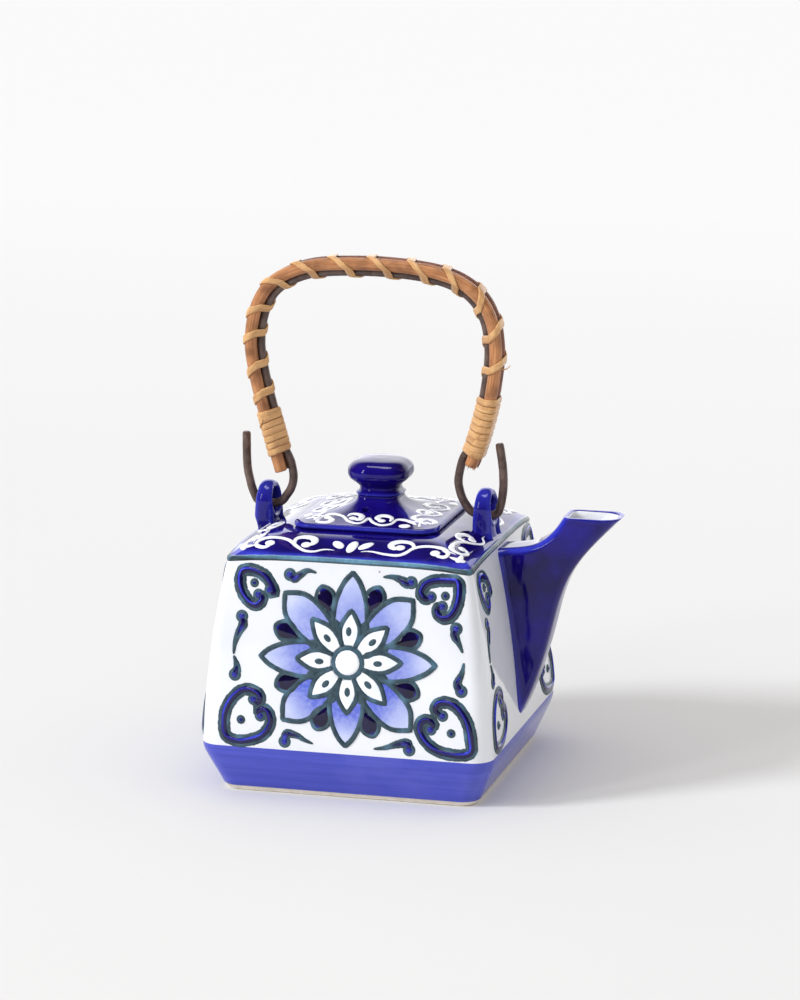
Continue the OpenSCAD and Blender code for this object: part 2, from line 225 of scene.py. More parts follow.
def evened(points, count):
    """The same line, stepped evenly by length."""
    run = [0.0]
    for a, b in zip(points, points[1:]):
        run.append(run[-1] + (b - a).length)
    out, i = [], 0
    for k in range(count + 1):
        s = run[-1] * k / count
        while i < len(points) - 2 and run[i + 1] < s:
            i += 1
        out.append(points[i].lerp(points[i + 1], (s - run[i]) / max(run[i + 1] - run[i], 1e-9)))
    return out


def cut_through(piece, cutters):
    """Cuts drilled holes in a finished mesh, and removes the drills."""
    for drill in cutters:
        hole = piece.modifiers.new("hole", "BOOLEAN")
        hole.operation, hole.solver, hole.object = "DIFFERENCE", "EXACT", drill
    bpy.context.view_layer.update()
    made = bpy.data.meshes.new_from_object(piece.evaluated_get(bpy.context.evaluated_depsgraph_get()))
    old, name = piece.data, piece.data.name
    piece.modifiers.clear()
    piece.data = made
    bpy.data.meshes.remove(old)
    made.name = name
    for drill in cutters:
        bpy.data.objects.remove(drill)


def drill(axis_point, axis, d, length, zone_material):
    """Cylinder that cuts a round hole along an axis."""
    bm = bmesh.new()
    bmesh.ops.create_cone(bm, cap_ends=True, segments=32, radius1=d / 2, radius2=d / 2, depth=length)
    turn = Vector((0, 0, 1)).rotation_difference(Vector(axis)).to_matrix()
    bmesh.ops.rotate(bm, verts=bm.verts, cent=(0, 0, 0), matrix=turn)
    bmesh.ops.translate(bm, verts=bm.verts, vec=axis_point)
    bmesh.ops.scale(bm, vec=(MM, MM, MM), verts=bm.verts)
    mesh = bpy.data.meshes.new("drill")
    bm.to_mesh(mesh)
    bm.free()
    tool = bpy.data.objects.new("drill", mesh)
    mesh.materials.append(zone_material)
    bpy.context.scene.collection.objects.link(tool)
    return tool


def piece(bm, name, body, slot, materials, turn_out=True):
    """Turns a mesh in mm into a finished piece in metres that moves with a body."""
    if turn_out:
        bmesh.ops.recalc_face_normals(bm, faces=bm.faces)
    bmesh.ops.scale(bm, vec=(MM, MM, MM), verts=bm.verts)
    mesh = bpy.data.meshes.new(name)
    bm.to_mesh(mesh)
    bm.free()
    for face in mesh.polygons:
        face.use_smooth = True
    obj = bpy.data.objects.new(name, mesh)
    for material in materials:
        mesh.materials.append(material)
    bpy.context.scene.collection.objects.link(obj)
    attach(obj, body)
    return obj


# ---- shared effects ----
def group(name, inputs, outputs):
    """Empty node group with named sockets; returns it with its input and output nodes."""
    tree = bpy.data.node_groups.new(name, "ShaderNodeTree")
    for label, kind, value in inputs:
        socket = tree.interface.new_socket(name=label, in_out="INPUT", socket_type=kind)
        if value is not None:
            socket.default_value = value
    for label, kind in outputs:
        tree.interface.new_socket(name=label, in_out="OUTPUT", socket_type=kind)
    return tree, tree.nodes.new("NodeGroupInput"), tree.nodes.new("NodeGroupOutput")


COLOR, FLOAT, VECTOR = "NodeSocketColor", "NodeSocketFloat", "NodeSocketVector"


def noise(tree, vector, scale, detail=3.0, roughness=0.5, stretch=None):
    node = tree.nodes.new("ShaderNodeTexNoise")
    node.inputs["Scale"].default_value = scale
    node.inputs["Detail"].default_value = detail
    node.inputs["Roughness"].default_value = roughness
    if stretch:
        mapping = tree.nodes.new("ShaderNodeMapping")
        mapping.inputs["Scale"].default_value = stretch
        tree.links.new(vector, mapping.inputs["Vector"])
        vector = mapping.outputs["Vector"]
    tree.links.new(vector, node.inputs["Vector"])
    return node.outputs["Fac"]


def spread(tree, value, low, high, to_low=0.0, to_high=1.0):
    """Stretches a value between two limits."""
    node = tree.nodes.new("ShaderNodeMapRange")
    for label, number in (("From Min", low), ("From Max", high), ("To Min", to_low), ("To Max", to_high)):
        node.inputs[label].default_value = number
    tree.links.new(value, node.inputs["Value"])
    return node.outputs["Result"]


def blend_colors(tree, share, a, b):
    node = tree.nodes.new("ShaderNodeMix")
    node.data_type = "RGBA"
    for value, socket in ((share, node.inputs[0]), (a, node.inputs[6]), (b, node.inputs[7])):
        if isinstance(value, bpy.types.NodeSocket):
            tree.links.new(value, socket)
        else:
            socket.default_value = value
    return node.outputs[2]


def calc(tree, kind, a, b=None):
    node = tree.nodes.new("ShaderNodeMath")
    node.operation = kind
    for value, socket in zip((a, b), node.inputs):
        if isinstance(value, bpy.types.NodeSocket):
            tree.links.new(value, socket)
        elif value is not None:
            socket.default_value = value
    return node.outputs[0]


def glaze_ripple_group():
    """Slow waves and fine pitting in a fired glaze, as a normal."""
    tree, inp, out = group("glaze_ripple", [("Vector", VECTOR, None), ("Waves", FLOAT, 0.3),
                                            ("Pits", FLOAT, 0.1)], [("Normal", VECTOR)])
    waves = tree.nodes.new("ShaderNodeBump")
    waves.inputs["Distance"].default_value = 0.0012
    tree.links.new(noise(tree, inp.outputs["Vector"], 55, 1.0), waves.inputs["Height"])
    tree.links.new(inp.outputs["Waves"], waves.inputs["Strength"])
    pits = tree.nodes.new("ShaderNodeBump")
    pits.inputs["Distance"].default_value = 0.0001
    tree.links.new(noise(tree, inp.outputs["Vector"], 900, 2.0), pits.inputs["Height"])
    tree.links.new(inp.outputs["Pits"], pits.inputs["Strength"])
    tree.links.new(waves.outputs["Normal"], pits.inputs["Normal"])
    tree.links.new(pits.outputs["Normal"], out.inputs["Normal"])
    return tree


def glaze_pooling_group():
    """Colour that is deep where the glaze pooled, light where it ran thinner, and mottled in between; on the
    lugs and the shoulder line the same light share also carries painted light and shade.
    """
    tree, inp, out = group("glaze_pooling", [("Vector", VECTOR, None), ("Thin_glaze_and_light", FLOAT, 0.0),
                                             ("Deep", COLOR, None), ("Middle", COLOR, None),
                                             ("Light", COLOR, None), ("Cell", FLOAT, 120.0)],
                           [("Color", COLOR), ("Mask", FLOAT)])
    mottle = tree.nodes.new("ShaderNodeTexNoise")
    mottle.inputs["Detail"].default_value = 4
    tree.links.new(inp.outputs["Vector"], mottle.inputs["Vector"])
    tree.links.new(inp.outputs["Cell"], mottle.inputs["Scale"])
    body = spread(tree, mottle.outputs["Fac"], 0.32, 0.68)
    base = blend_colors(tree, body, inp.outputs["Deep"], inp.outputs["Middle"])
    fine = noise(tree, inp.outputs["Vector"], 700, 2.0)
    share = calc(tree, "MULTIPLY", inp.outputs["Thin_glaze_and_light"], spread(tree, fine, 0.2, 0.7, 0.7, 1.1))
    share.node.use_clamp = True
    tree.links.new(blend_colors(tree, share, base, inp.outputs["Light"]), out.inputs["Color"])
    tree.links.new(share, out.inputs["Mask"])
    return tree


def fibre_grain_group():
    """Lengthwise fibres on a cane or strip: X and Y across the piece, Z along it, all in mm."""
    tree, inp, out = group("fibre_grain", [("Vector", VECTOR, None), ("Dark", COLOR, None),
                                           ("Body", COLOR, None), ("Light", COLOR, None),
                                           ("Fibres", FLOAT, 3.0), ("Stain", FLOAT, 0.5)],
                           [("Color", COLOR), ("Height", FLOAT)])
    scaled = tree.nodes.new("ShaderNodeVectorMath")
    scaled.operation = "MULTIPLY"
    tree.links.new(inp.outputs["Vector"], scaled.inputs[0])
    stretch = tree.nodes.new("ShaderNodeCombineXYZ")
    for k in (0, 1):
        tree.links.new(inp.outputs["Fibres"], stretch.inputs[k])
    stretch.inputs[2].default_value = 0.09
    tree.links.new(stretch.outputs[0], scaled.inputs[1])
    fibres = noise(tree, scaled.outputs[0], 1.0, 4.0, 0.65)
    patches = noise(tree, inp.outputs["Vector"], 0.16, 2.0)
    base = blend_colors(tree, spread(tree, fibres, 0.36, 0.64), inp.outputs["Body"], inp.outputs["Light"])
    stain = calc(tree, "MULTIPLY", inp.outputs["Stain"], spread(tree, patches, 0.42, 0.7))
    tree.links.new(blend_colors(tree, stain, base, inp.outputs["Dark"]), out.inputs["Color"])
    tree.links.new(fibres, out.inputs["Height"])
    return tree


def roughen(tree, shader, height, distance, strength):
    """Bump on the shader from a height."""
    bump = tree.nodes.new("ShaderNodeBump")
    bump.inputs["Distance"].default_value = distance
    bump.inputs["Strength"].default_value = strength
    tree.links.new(height, bump.inputs["Height"])
    tree.links.new(bump.outputs["Normal"], shader.inputs["Normal"])


def rippled(tree, shader, place, waves, pits):
    ripple = place_group(tree, RIPPLE, {"Vector": place, "Waves": waves, "Pits": pits})
    tree.links.new(ripple.outputs["Normal"], shader.inputs["Normal"])


RIPPLE = glaze_ripple_group()
POOLING = glaze_pooling_group()
FIBRE = fibre_grain_group()


def place_group(tree, source, values):
    node = tree.nodes.new("ShaderNodeGroup")
    node.node_tree = source
    for label, value in values.items():
        if isinstance(value, bpy.types.NodeSocket):
            tree.links.new(value, node.inputs[label])
        else:
            node.inputs[label].default_value = value
    return node


def new_material(name, **settings):
    """Material with a plain Principled shader; settings are its own constant sockets."""
    material = bpy.data.materials.new(name)
    material.use_nodes = True
    tree = material.node_tree
    shader = tree.nodes["Principled BSDF"]
    for label, value in settings.items():
        shader.inputs[label.replace("_", " ")].default_value = value
    place = tree.nodes.new("ShaderNodeTexCoord")
    return material, tree, shader, place.outputs["Object"]


def attribute(tree, name, kind="Fac"):
    node = tree.nodes.new("ShaderNodeAttribute")
    node.attribute_name = name
    return node.outputs[kind]


def glazed(name, deep, middle, light, cell=120, waves=0.3, pits=0.1, roughness=0.07, ior=1.5, **settings):
    """Glossy fired colour over porcelain, which reads the piece's own glaze thinness and painted light."""
    material, tree, shader, place = new_material(name, Roughness=roughness, IOR=ior, **settings)
    pool = place_group(tree, POOLING, {"Vector": place, "Thin_glaze_and_light": attribute(tree, "thin_glaze_and_light"), "Deep": deep,
                                       "Middle": middle, "Light": light, "Cell": cell})
    tree.links.new(pool.outputs["Color"], shader.inputs["Base Color"])
    rippled(tree, shader, place, waves, pits)
    gloss = spread(tree, noise(tree, place, 60, 2.0), 0.3, 0.7, roughness * 0.6, roughness * 1.6)
    tree.links.new(gloss, shader.inputs["Roughness"])
    return material


def white_glaze():
    material, tree, shader, place = new_material("white_glaze", Roughness=0.06, IOR=1.5, Coat_Weight=0.25)
    tone = blend_colors(tree, spread(tree, noise(tree, place, 40, 3.0), 0.3, 0.7),
                        (0.725, 0.745, 0.790, 1), (0.775, 0.79, 0.825, 1))
    specks = tree.nodes.new("ShaderNodeTexVoronoi")
    specks.inputs["Scale"].default_value = 210
    tree.links.new(place, specks.inputs["Vector"])
    dots = spread(tree, specks.outputs["Distance"], 0.05, 0.11, 1, 0)
    some = spread(tree, noise(tree, place, 130, 1.0), 0.62, 0.72)
    tree.links.new(blend_colors(tree, calc(tree, "MULTIPLY", dots, some), tone, (0.30, 0.29, 0.30, 1)),
                   shader.inputs["Base Color"])
    rippled(tree, shader, place, 0.22, 0.04)
    return material


def blue_band():
    """Brushed ultramarine under a thinly laid clear glaze, with strokes that run level."""
    material, tree, shader, place = new_material("blue_band", Roughness=0.14, IOR=1.45)
    strokes = noise(tree, place, 1.0, 5.0, 0.6, stretch=(14, 14, 420))
    patches = noise(tree, place, 45, 3.0)
    color = blend_colors(tree, spread(tree, strokes, 0.3, 0.7),
                         (0.045, 0.058, 0.40, 1), (0.074, 0.090, 0.53, 1))
    worn = blend_colors(tree, spread(tree, patches, 0.52, 0.78, 0, 0.5), color, (0.13, 0.14, 0.55, 1))
    tree.links.new(worn, shader.inputs["Base Color"])
    rippled(tree, shader, place, 0.2, 0.12)
    return material


def bare_clay():
    material, tree, shader, place = new_material("bare_clay", Roughness=0.75)
    color = blend_colors(tree, spread(tree, noise(tree, place, 300, 4.0), 0.3, 0.7),
                         (0.72, 0.64, 0.53, 1), (0.84, 0.77, 0.68, 1))
    tree.links.new(color, shader.inputs["Base Color"])
    roughen(tree, shader, noise(tree, place, 1500, 3.0), 0.0002, 0.4)
    return material


def lacquered_wire():
    material, tree, shader, place = new_material("lacquered_wire", Metallic=0.15, Roughness=0.4)
    color = blend_colors(tree, spread(tree, noise(tree, place, 260, 4.0), 0.35, 0.65),
                         (0.070, 0.042, 0.034, 1), (0.145, 0.095, 0.078, 1))
    scuffs = spread(tree, noise(tree, place, 700, 3.0), 0.6, 0.75, 0, 0.5)
    tree.links.new(blend_colors(tree, scuffs, color, (0.22, 0.17, 0.14, 1)), shader.inputs["Base Color"])
    gloss = spread(tree, noise(tree, place, 200, 2.0), 0.3, 0.7, 0.32, 0.5)
    tree.links.new(gloss, shader.inputs["Roughness"])
    roughen(tree, shader, noise(tree, place, 900, 3.0), 0.0002, 0.35)
    return material


def cane(name, dark, body, light, fibres, stain, roughness, bump_strength=0.5):
    material, tree, shader, _ = new_material(name, Roughness=roughness, IOR=1.45)
    grain = place_group(tree, FIBRE, {"Vector": attribute(tree, "grain", "Vector"), "Dark": dark,
                                      "Body": body, "Light": light, "Fibres": fibres, "Stain": stain})
    tree.links.new(grain.outputs["Color"], shader.inputs["Base Color"])
    roughen(tree, shader, grain.outputs["Height"], 0.0003, bump_strength)
    tree.links.new(spread(tree, grain.outputs["Height"], 0.3, 0.7, roughness * 0.8, roughness * 1.25),
                   shader.inputs["Roughness"])
    return material


glaze = {
    WHITE: white_glaze(),
    COBALT: glazed("cobalt_glaze", (0.004, 0.001, 0.06, 1), (0.010, 0.004, 0.20, 1), (0.045, 0.060, 0.62, 1),
                   cell=60, waves=0.35, pits=0.05, roughness=0.04, ior=1.4),
    BAND: blue_band(),
    CLAY: bare_clay(),
    LINE: glazed("outline_paint", (0.014, 0.024, 0.030, 1), (0.042, 0.070, 0.080, 1), (0.15, 0.34, 0.50, 1),
                 cell=330, waves=0.1, pits=0.6, roughness=0.26, ior=1.38),
    PETAL: glazed("petal_glaze", (0.44, 0.50, 0.79, 1), (0.58, 0.63, 0.85, 1), (0.10, 0.14, 0.60, 1),
                  cell=130, waves=0.3, pits=0.1, roughness=0.06, Coat_Weight=0.2),
    SLIP: glazed("white_slip", (0.72, 0.78, 0.90, 1), (0.88, 0.90, 0.94, 1), (0.94, 0.94, 0.95, 1),
                 cell=300, waves=0.1, pits=0.15, roughness=0.1),
    INK: glazed("navy_ink", (0.002, 0.001, 0.010, 1), (0.006, 0.003, 0.045, 1), (0.035, 0.045, 0.50, 1),
                cell=240, waves=0.3, pits=0.1, roughness=0.05),
}
GLAZES = [glaze[k] for k in range(8)]
wire_finish = lacquered_wire()
cane_light = cane("stained_cane", (0.095, 0.030, 0.012, 1), (0.34, 0.125, 0.046, 1), (0.60, 0.28, 0.115, 1),
                  3.2, 0.55, 0.36)
# painted shade: a darker copy of the stained cane, for the back cane
cane_dark = cane("back_cane_shaded", (0.045, 0.018, 0.012, 1), (0.13, 0.045, 0.022, 1), (0.28, 0.10, 0.05, 1),
                 3.2, 0.6, 0.4)
split_cane = cane("split_cane", (0.26, 0.10, 0.035, 1), (0.52, 0.26, 0.095, 1), (0.76, 0.47, 0.22, 1),
                  5.0, 0.45, 0.3, 0.35)


# ---- pot ----
def wall_width(t):
    return mix(RIDGE_W, SHOULDER_W, t) + 8 * WALL_BOW * t * (1 - t)


def square_ring(w, r, z, depth=0.0):
    """Rounded square at height z, its corners lowered by depth."""
    return [Vector((x, y, z - dip(x, y, w, depth))) for x, y in (square_point(i, w, r) for i in range(RING))]


def wall_ring(t, inset=0.0):
    w = wall_width(t) - 2 * inset
    return square_ring(w, max(1, mix(RIDGE_R, SHOULDER_R, t) - inset / 2),
                       mix(RIDGE_Z, SHOULDER_Z, t), CORNER_DIP * t * t)


def roof_ring(s, inset=0.0):
    w = mix(SHOULDER_W, SEAT_W, s) - 2 * inset
    return square_ring(w, max(1, mix(SHOULDER_R, SEAT_R, s) - inset / 2),
                       SHOULDER_Z + ROOF_RISE * math.sin(math.pi / 2 * s) - inset, CORNER_DIP * (1 - s) ** 2)


def foot_ring(z, swell=0.0):
    """Ring on the sloping band between the foot and the ridge."""
    t = z / RIDGE_Z
    return square_ring(mix(FOOT_W, RIDGE_W, t) + 2 * swell, mix(FOOT_R, RIDGE_R, t), z)


def make_pot():
    """Whole shell, foot to mouth and back down inside, in one closed skin."""
    wall_h = SHOULDER_Z - RIDGE_Z
    band_t = (BAND_TOP - RIDGE_Z) / wall_h
    line_t = 1 - EDGE_LINE / wall_h
    recess_w = FOOT_W - 2 * FOOT_RIM
    stations = [
        (square_ring(recess_w - 1, 4, FOOT_RECESS), CLAY),
        (square_ring(recess_w, 4.5, FOOT_RECESS - 0.4), CLAY),
        (square_ring(recess_w + 0.3, 4.6, 0.4), CLAY), (square_ring(recess_w + 1.2, 4.8, 0), CLAY),
        (square_ring(FOOT_W - 1.6, 5.6, 0), CLAY), (square_ring(FOOT_W - 0.6, 6, 0.2), CLAY),
        (foot_ring(0.7, -0.05), CLAY), (foot_ring(BARE_CLAY, -0.1), CLAY),
        (foot_ring(BARE_CLAY + 0.1, 0.12), BAND), (foot_ring(BARE_CLAY + 0.6, 0.2), BAND)]
    stations += [(foot_ring(z, 0.1), BAND) for z in (4, 6.5, 9, 11.5, 13.5)]
    stations += [(foot_ring(z, swell), BAND) for z, swell in ((14.8, 0.06), (15.7, -0.02), (16.4, -0.14))]
    stations += [(square_ring(RIDGE_W - 0.5, RIDGE_R, RIDGE_Z), BAND),
                 (wall_ring(0.008, 0.15), BAND), (wall_ring(0.018, 0.02), BAND),
                 (wall_ring(band_t), BAND), (wall_ring(band_t + 0.002, -0.04), WHITE)]
    stations += [(wall_ring(mix(band_t + 0.01, line_t - 0.004, (k + 1) / 26)), WHITE) for k in range(26)]
    stations += [(wall_ring(line_t - 0.001, -0.04), WHITE), (wall_ring(line_t, -0.12), LINE),
                 (wall_ring(line_t + 0.007, -0.26), LINE), (wall_ring(line_t + 0.016, -0.3), LINE),
                 (wall_ring(0.994, -0.2), LINE), (roof_ring(0.012, -0.12), LINE),
                 (roof_ring(0.03, -0.08), LINE), (roof_ring(0.034, -0.02), COBALT)]
    stations += [(roof_ring(0.06 + 0.94 * k / 16), COBALT) for k in range(17)]
    stations += [(square_ring(SEAT_W - 0.5, SEAT_R, SEAT_Z), COBALT),
                 (square_ring(MOUTH_W + 4, MOUTH_R + 1, SEAT_Z), COBALT),
                 (square_ring(MOUTH_W + 1.2, MOUTH_R, SEAT_Z), WHITE),
                 (square_ring(MOUTH_W + 0.3, MOUTH_R, SEAT_Z - 0.3), WHITE),
                 (square_ring(MOUTH_W, MOUTH_R, SEAT_Z - 1), WHITE),
                 (square_ring(MOUTH_W, MOUTH_R, SEAT_Z - WALL + 0.6), WHITE),
                 (square_ring(MOUTH_W + 1, MOUTH_R, SEAT_Z - WALL), WHITE)]
    stations += [(roof_ring(1 - k / 8, WALL), WHITE) for k in range(1, 9)]
    stations += [(wall_ring(0.94 * (1 - k / 12), WALL), WHITE) for k in range(13)]
    stations += [(square_ring(FOOT_W - 1.4 * WALL + 4, FOOT_R, FLOOR_T + 4), WHITE),
                 (square_ring(FOOT_W - 1.4 * WALL, FOOT_R, FLOOR_T + 1), WHITE),
                 (square_ring(FOOT_W - 1.4 * WALL - 3, FOOT_R, FLOOR_T), WHITE)]
    bm = bmesh.new()
    thin_glaze_and_light = bm.verts.layers.float.new("thin_glaze_and_light")
    loft(bm, stations)
    shade_pot(bm, thin_glaze_and_light)
    pot = piece(bm, "pot_shell", "pot", "white_glaze", GLAZES)
    strainer = [drill((RIDGE_W / 2 - 8, side * STRAINER_STEP, STRAINER_Z + row * STRAINER_STEP), (1, 0, 0),
                      STRAINER_D, 24, glaze[WHITE]) for row in (-1.5, -0.5, 0.5, 1.5) for side in (-0.5, 0.5)]
    cut_through(pot, strainer)
    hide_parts("pot_body")


def shade_pot(bm, thin_glaze_and_light):
    """Glaze is thinner along the shoulder line and on the crest of the roof corners; the line is also painted
    lighter on the front and darker on the spout side, as painted light and shade.
    """
    for v in bm.verts:
        x, y = abs(v.co.x), abs(v.co.y)
        on_corner = ease(1 - abs(x - y) / 3.0) * ease((min(x, y) - 20) / 10)
        if v.co.z > SHOULDER_Z - 3:
            worn = 0.75 + 0.25 * math.sin(0.31 * v.co.x + 0.4) * math.sin(0.27 * v.co.y + 1.1)
            # painted shade and light: the line's colour is darker on the spout side and lighter on the front
            side = 0.55 if v.co.x > 45 else 1.0
            front = 1.2 if v.co.y < -45 else 0.85
            on_line = ease(1 - abs(v.co.z - SHOULDER_Z + 0.1) / 1.5)
            v[thin_glaze_and_light] = min(1, 0.4 * on_corner + front * side * worn * on_line)


# ---- spout ----
def bezier(a, b, c, d, n):
    a, b, c, d = Vector(a), Vector(b), Vector(c), Vector(d)
    return [(1 - t) ** 3 * a + 3 * (1 - t) ** 2 * t * b + 3 * (1 - t) * t * t * c + t ** 3 * d
            for t in (i / n for i in range(n + 1))]


def spout_lines():
    """Upper line and keel of the spout in its middle plane, as x, z points from the wall to the lip."""
    tip = Vector((SPOUT_REACH, LIP_Z))
    brow = tip - Vector((LIP_LEN, 0))
    top_root = Vector((SHOULDER_W / 2 - 2, SHOULDER_Z - 2.4))
    low_root = Vector((RIDGE_W / 2 - 3, SPOUT_FOOT_Z))
    bend = top_root + Vector((17.5, 3.2))
    top = bezier(top_root, top_root + Vector((9, 0.8)), top_root + Vector((14, 1.2)), bend, 20)
    top += bezier(bend, bend + Vector((4, 2.4)), brow - Vector((3.2, 5.5)), brow, 20)[1:]
    knee = Vector((mix(low_root.x, tip.x, 0.386), mix(low_root.y, tip.y, 0.529)))
    keel = bezier(low_root, low_root + Vector((8, 14)), knee - Vector((3.4, 14)), knee, 24)
    keel += bezier(knee, knee + Vector((4.2, 18.5)), tip - Vector((15, 15.3)), tip, 24)[1:]
    return top, keel


SPOUT_RING = 56


def spout_ring(top, keel, inset, top_r, keel_r):
    """Rounded box section between a point of the upper line and a point of the keel."""
    up = (top - keel).normalized()
    high = (top - keel).length - 2 * inset
    half = SPOUT_W / 2 - inset
    origin = keel + up * inset
    rounds = [(half - keel_r, keel_r, keel_r, -90), (half - top_r, high - top_r, top_r, 0),
              (-half + top_r, high - top_r, top_r, 90), (-half + keel_r, keel_r, keel_r, 180)]
    out = []
    for side, rise, r, start in rounds:
        for k in range(SPOUT_RING // 4):
            a = math.radians(start + 90 * k / (SPOUT_RING // 4 - 1))
            y, u = side + r * math.cos(a), rise + r * math.sin(a)
            p = origin + up * u
            out.append(Vector((p.x, y, p.y)))
    return out


def wall_x(z):
    t = (z - RIDGE_Z) / (SHOULDER_Z - RIDGE_Z)
    return wall_width(min(max(t, 0), 1)) / 2


def make_spout():
    """Closed shell: outside from root to lip, over the rolled lip, and back down inside."""
    top, keel = spout_lines()
    top, keel = evened(top, 200), evened(keel, 200)
    shares = [0, 0.012, 0.024, 0.036, 0.048, 0.06, 0.075] + [0.075 + 0.925 * k / 44 for k in range(1, 45)]
    bm = bmesh.new()
    thin_glaze_and_light = bm.verts.layers.float.new("thin_glaze_and_light")

    def at(share, inset, zone):
        s = min(share, 1)
        grown = ease((share - 0.35) / 0.65)
        # the root end spreads into the wall, so its stations crowd together there
        p, q = along(top, s), along(keel, s)
        return spout_ring(p, q, inset, mix(3.0, 3.2, grown) - 0.6 * min(inset, 2),
                          mix(4.6, 6.4, grown) - 0.7 * min(inset, 2)), zone

    stations = [at(s, 0, LINE if s < 0.05 else COBALT) for s in shares]
    stations += [at(0.999, 0.12, COBALT), at(1, 0.4, COBALT), at(1, 0.9, COBALT), at(0.998, 1.3, COBALT),
                 at(0.992, 1.65, COBALT), at(0.988, 1.8, WHITE), at(0.975, 2.1, WHITE)]
    stations += [at(0.96 - 0.9 * k / 22, SPOUT_WALL, WHITE) for k in range(23)]
    rings = loft(bm, stations, capped=False)
    bmesh.ops.bridge_loops(bm, edges=ring_edges(bm, rings[0]) + ring_edges(bm, rings[-1]))
    outside = len(shares)
    for k, ring in enumerate(rings[:outside + 4]):
        for v in ring:
            gap = v.co.x - wall_x(v.co.z)
            root = ease(1 - gap / 2.6)
            if k < outside and v.co.z < SHOULDER_Z - 1:
                v.co.y *= 1 + 0.11 * root * root
            v[thin_glaze_and_light] = max(0.40 * ease(1 - abs(gap - 0.6) / 1.3), 0.45 * ease((k - outside + 3) / 3))
    for k, ring in enumerate(rings[:outside]):
        for i, v in enumerate(ring):
            part = i % (SPOUT_RING // 4) / (SPOUT_RING // 4 - 1)
            if 14 <= i < 42:
                v[thin_glaze_and_light] = max(v[thin_glaze_and_light], 0.7 * math.sin(math.pi * part) ** 2)
    spout = piece(bm, "spout_shell", "pot", "cobalt_glaze", GLAZES)
    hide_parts("spout")


# ---- lugs ----
def make_lug(side):
    """One thick rounded strap swept up, over the eye and down again, its two feet spread in the roof."""
    low, high = lug_boxes[side]
    half_w = (high.y - low.y) / 2
    band = half_w - LUG_HOLE_D / 2
    reach = half_w - band / 2
    crown = high.z - half_w
    middle = (low.x + high.x) / 2
    thick = high.x - low.x
    sign = 1 if side == "right" else -1
    rise = crown - (low.z - 1.2)
    path = [(-reach, crown - rise * (1 - k / 16), 1.0, 0.0) for k in range(16)]
    path += [(-reach * math.cos(a), crown + reach * math.sin(a), math.cos(a), math.sin(a))
             for a in (math.pi * k / 36 for k in range(37))]
    path += [(reach, crown - rise * k / 16, -1.0, 0.0) for k in range(1, 17)]
    under = [(-reach * math.cos(a), crown - reach * math.sin(a), math.cos(a), -math.sin(a))
             for a in (math.pi * k / 24 for k in range(25))]
    web = [(0.0, mix(low.z - 1.2, crown - reach, k / 12), None, 0.0) for k in range(13)]
    bm = bmesh.new()
    thin_glaze_and_light = bm.verts.layers.float.new("thin_glaze_and_light")
    # over the eye, under the eye, and the solid part below it
    for run in (path, under, web):
        stations = []
        for y, z, across, up in run:
            flare = ease(1 - (z - SHOULDER_Z + 1.0) / 7.0) ** 2
            wide, deep = thick * (1 + 0.28 * flare), band * (1 + 0.55 * flare)
            narrow = mix(1.0, 0.74, ease((z - crown + 6) / (half_w + 6)))
            ring = []
            for k in range(32):
                a = 2 * math.pi * k / 32
                c, s = math.cos(a), math.sin(a)
                x = middle + math.copysign(abs(c) ** 0.85, c) * wide * narrow / 2
                out = math.copysign(abs(s) ** 0.95, s)
                if across is None:
                    ring.append(Vector((mix(middle, x, 0.9), out * reach, z)))
                else:
                    ring.append(Vector((x, y - across * out * deep / 2, z + up * out * deep / 2)))
            stations.append((ring, COBALT))
        loft(bm, stations)
    for v in bm.verts:
        # painted light: the strap's colour is lighter over the top of the arch and along its two edges
        edge = abs(v.co.x - middle) / (thick / 2)
        v[thin_glaze_and_light] = 0.30 * ease((v.co.z - crown) / half_w) + 0.10 + 0.35 * ease((edge - 0.35) / 0.5)
        above = v.co.z - SHOULDER_Z
        over = sign * v.co.x - (SHOULDER_W / 2 - 0.6 + 0.25 * max(above, 0) ** 1.3)
        if over > 0:
            v.co.x -= sign * over
            v[thin_glaze_and_light] = max(v[thin_glaze_and_light], 0.5 * ease(1 - above / 3))
    lug = piece(bm, "strap_lug_" + side, "pot", "cobalt_glaze", GLAZES)
    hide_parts("lug_" + side)


# ---- lid ----
def lid_width(u):
    return NECK_W + (RIM_TOP_W - NECK_W) * max(0.0, 1 - u) ** 2.6


def lid_ring(w, z):
    return square_ring(w, min(LID_R, 0.28 * w), z)


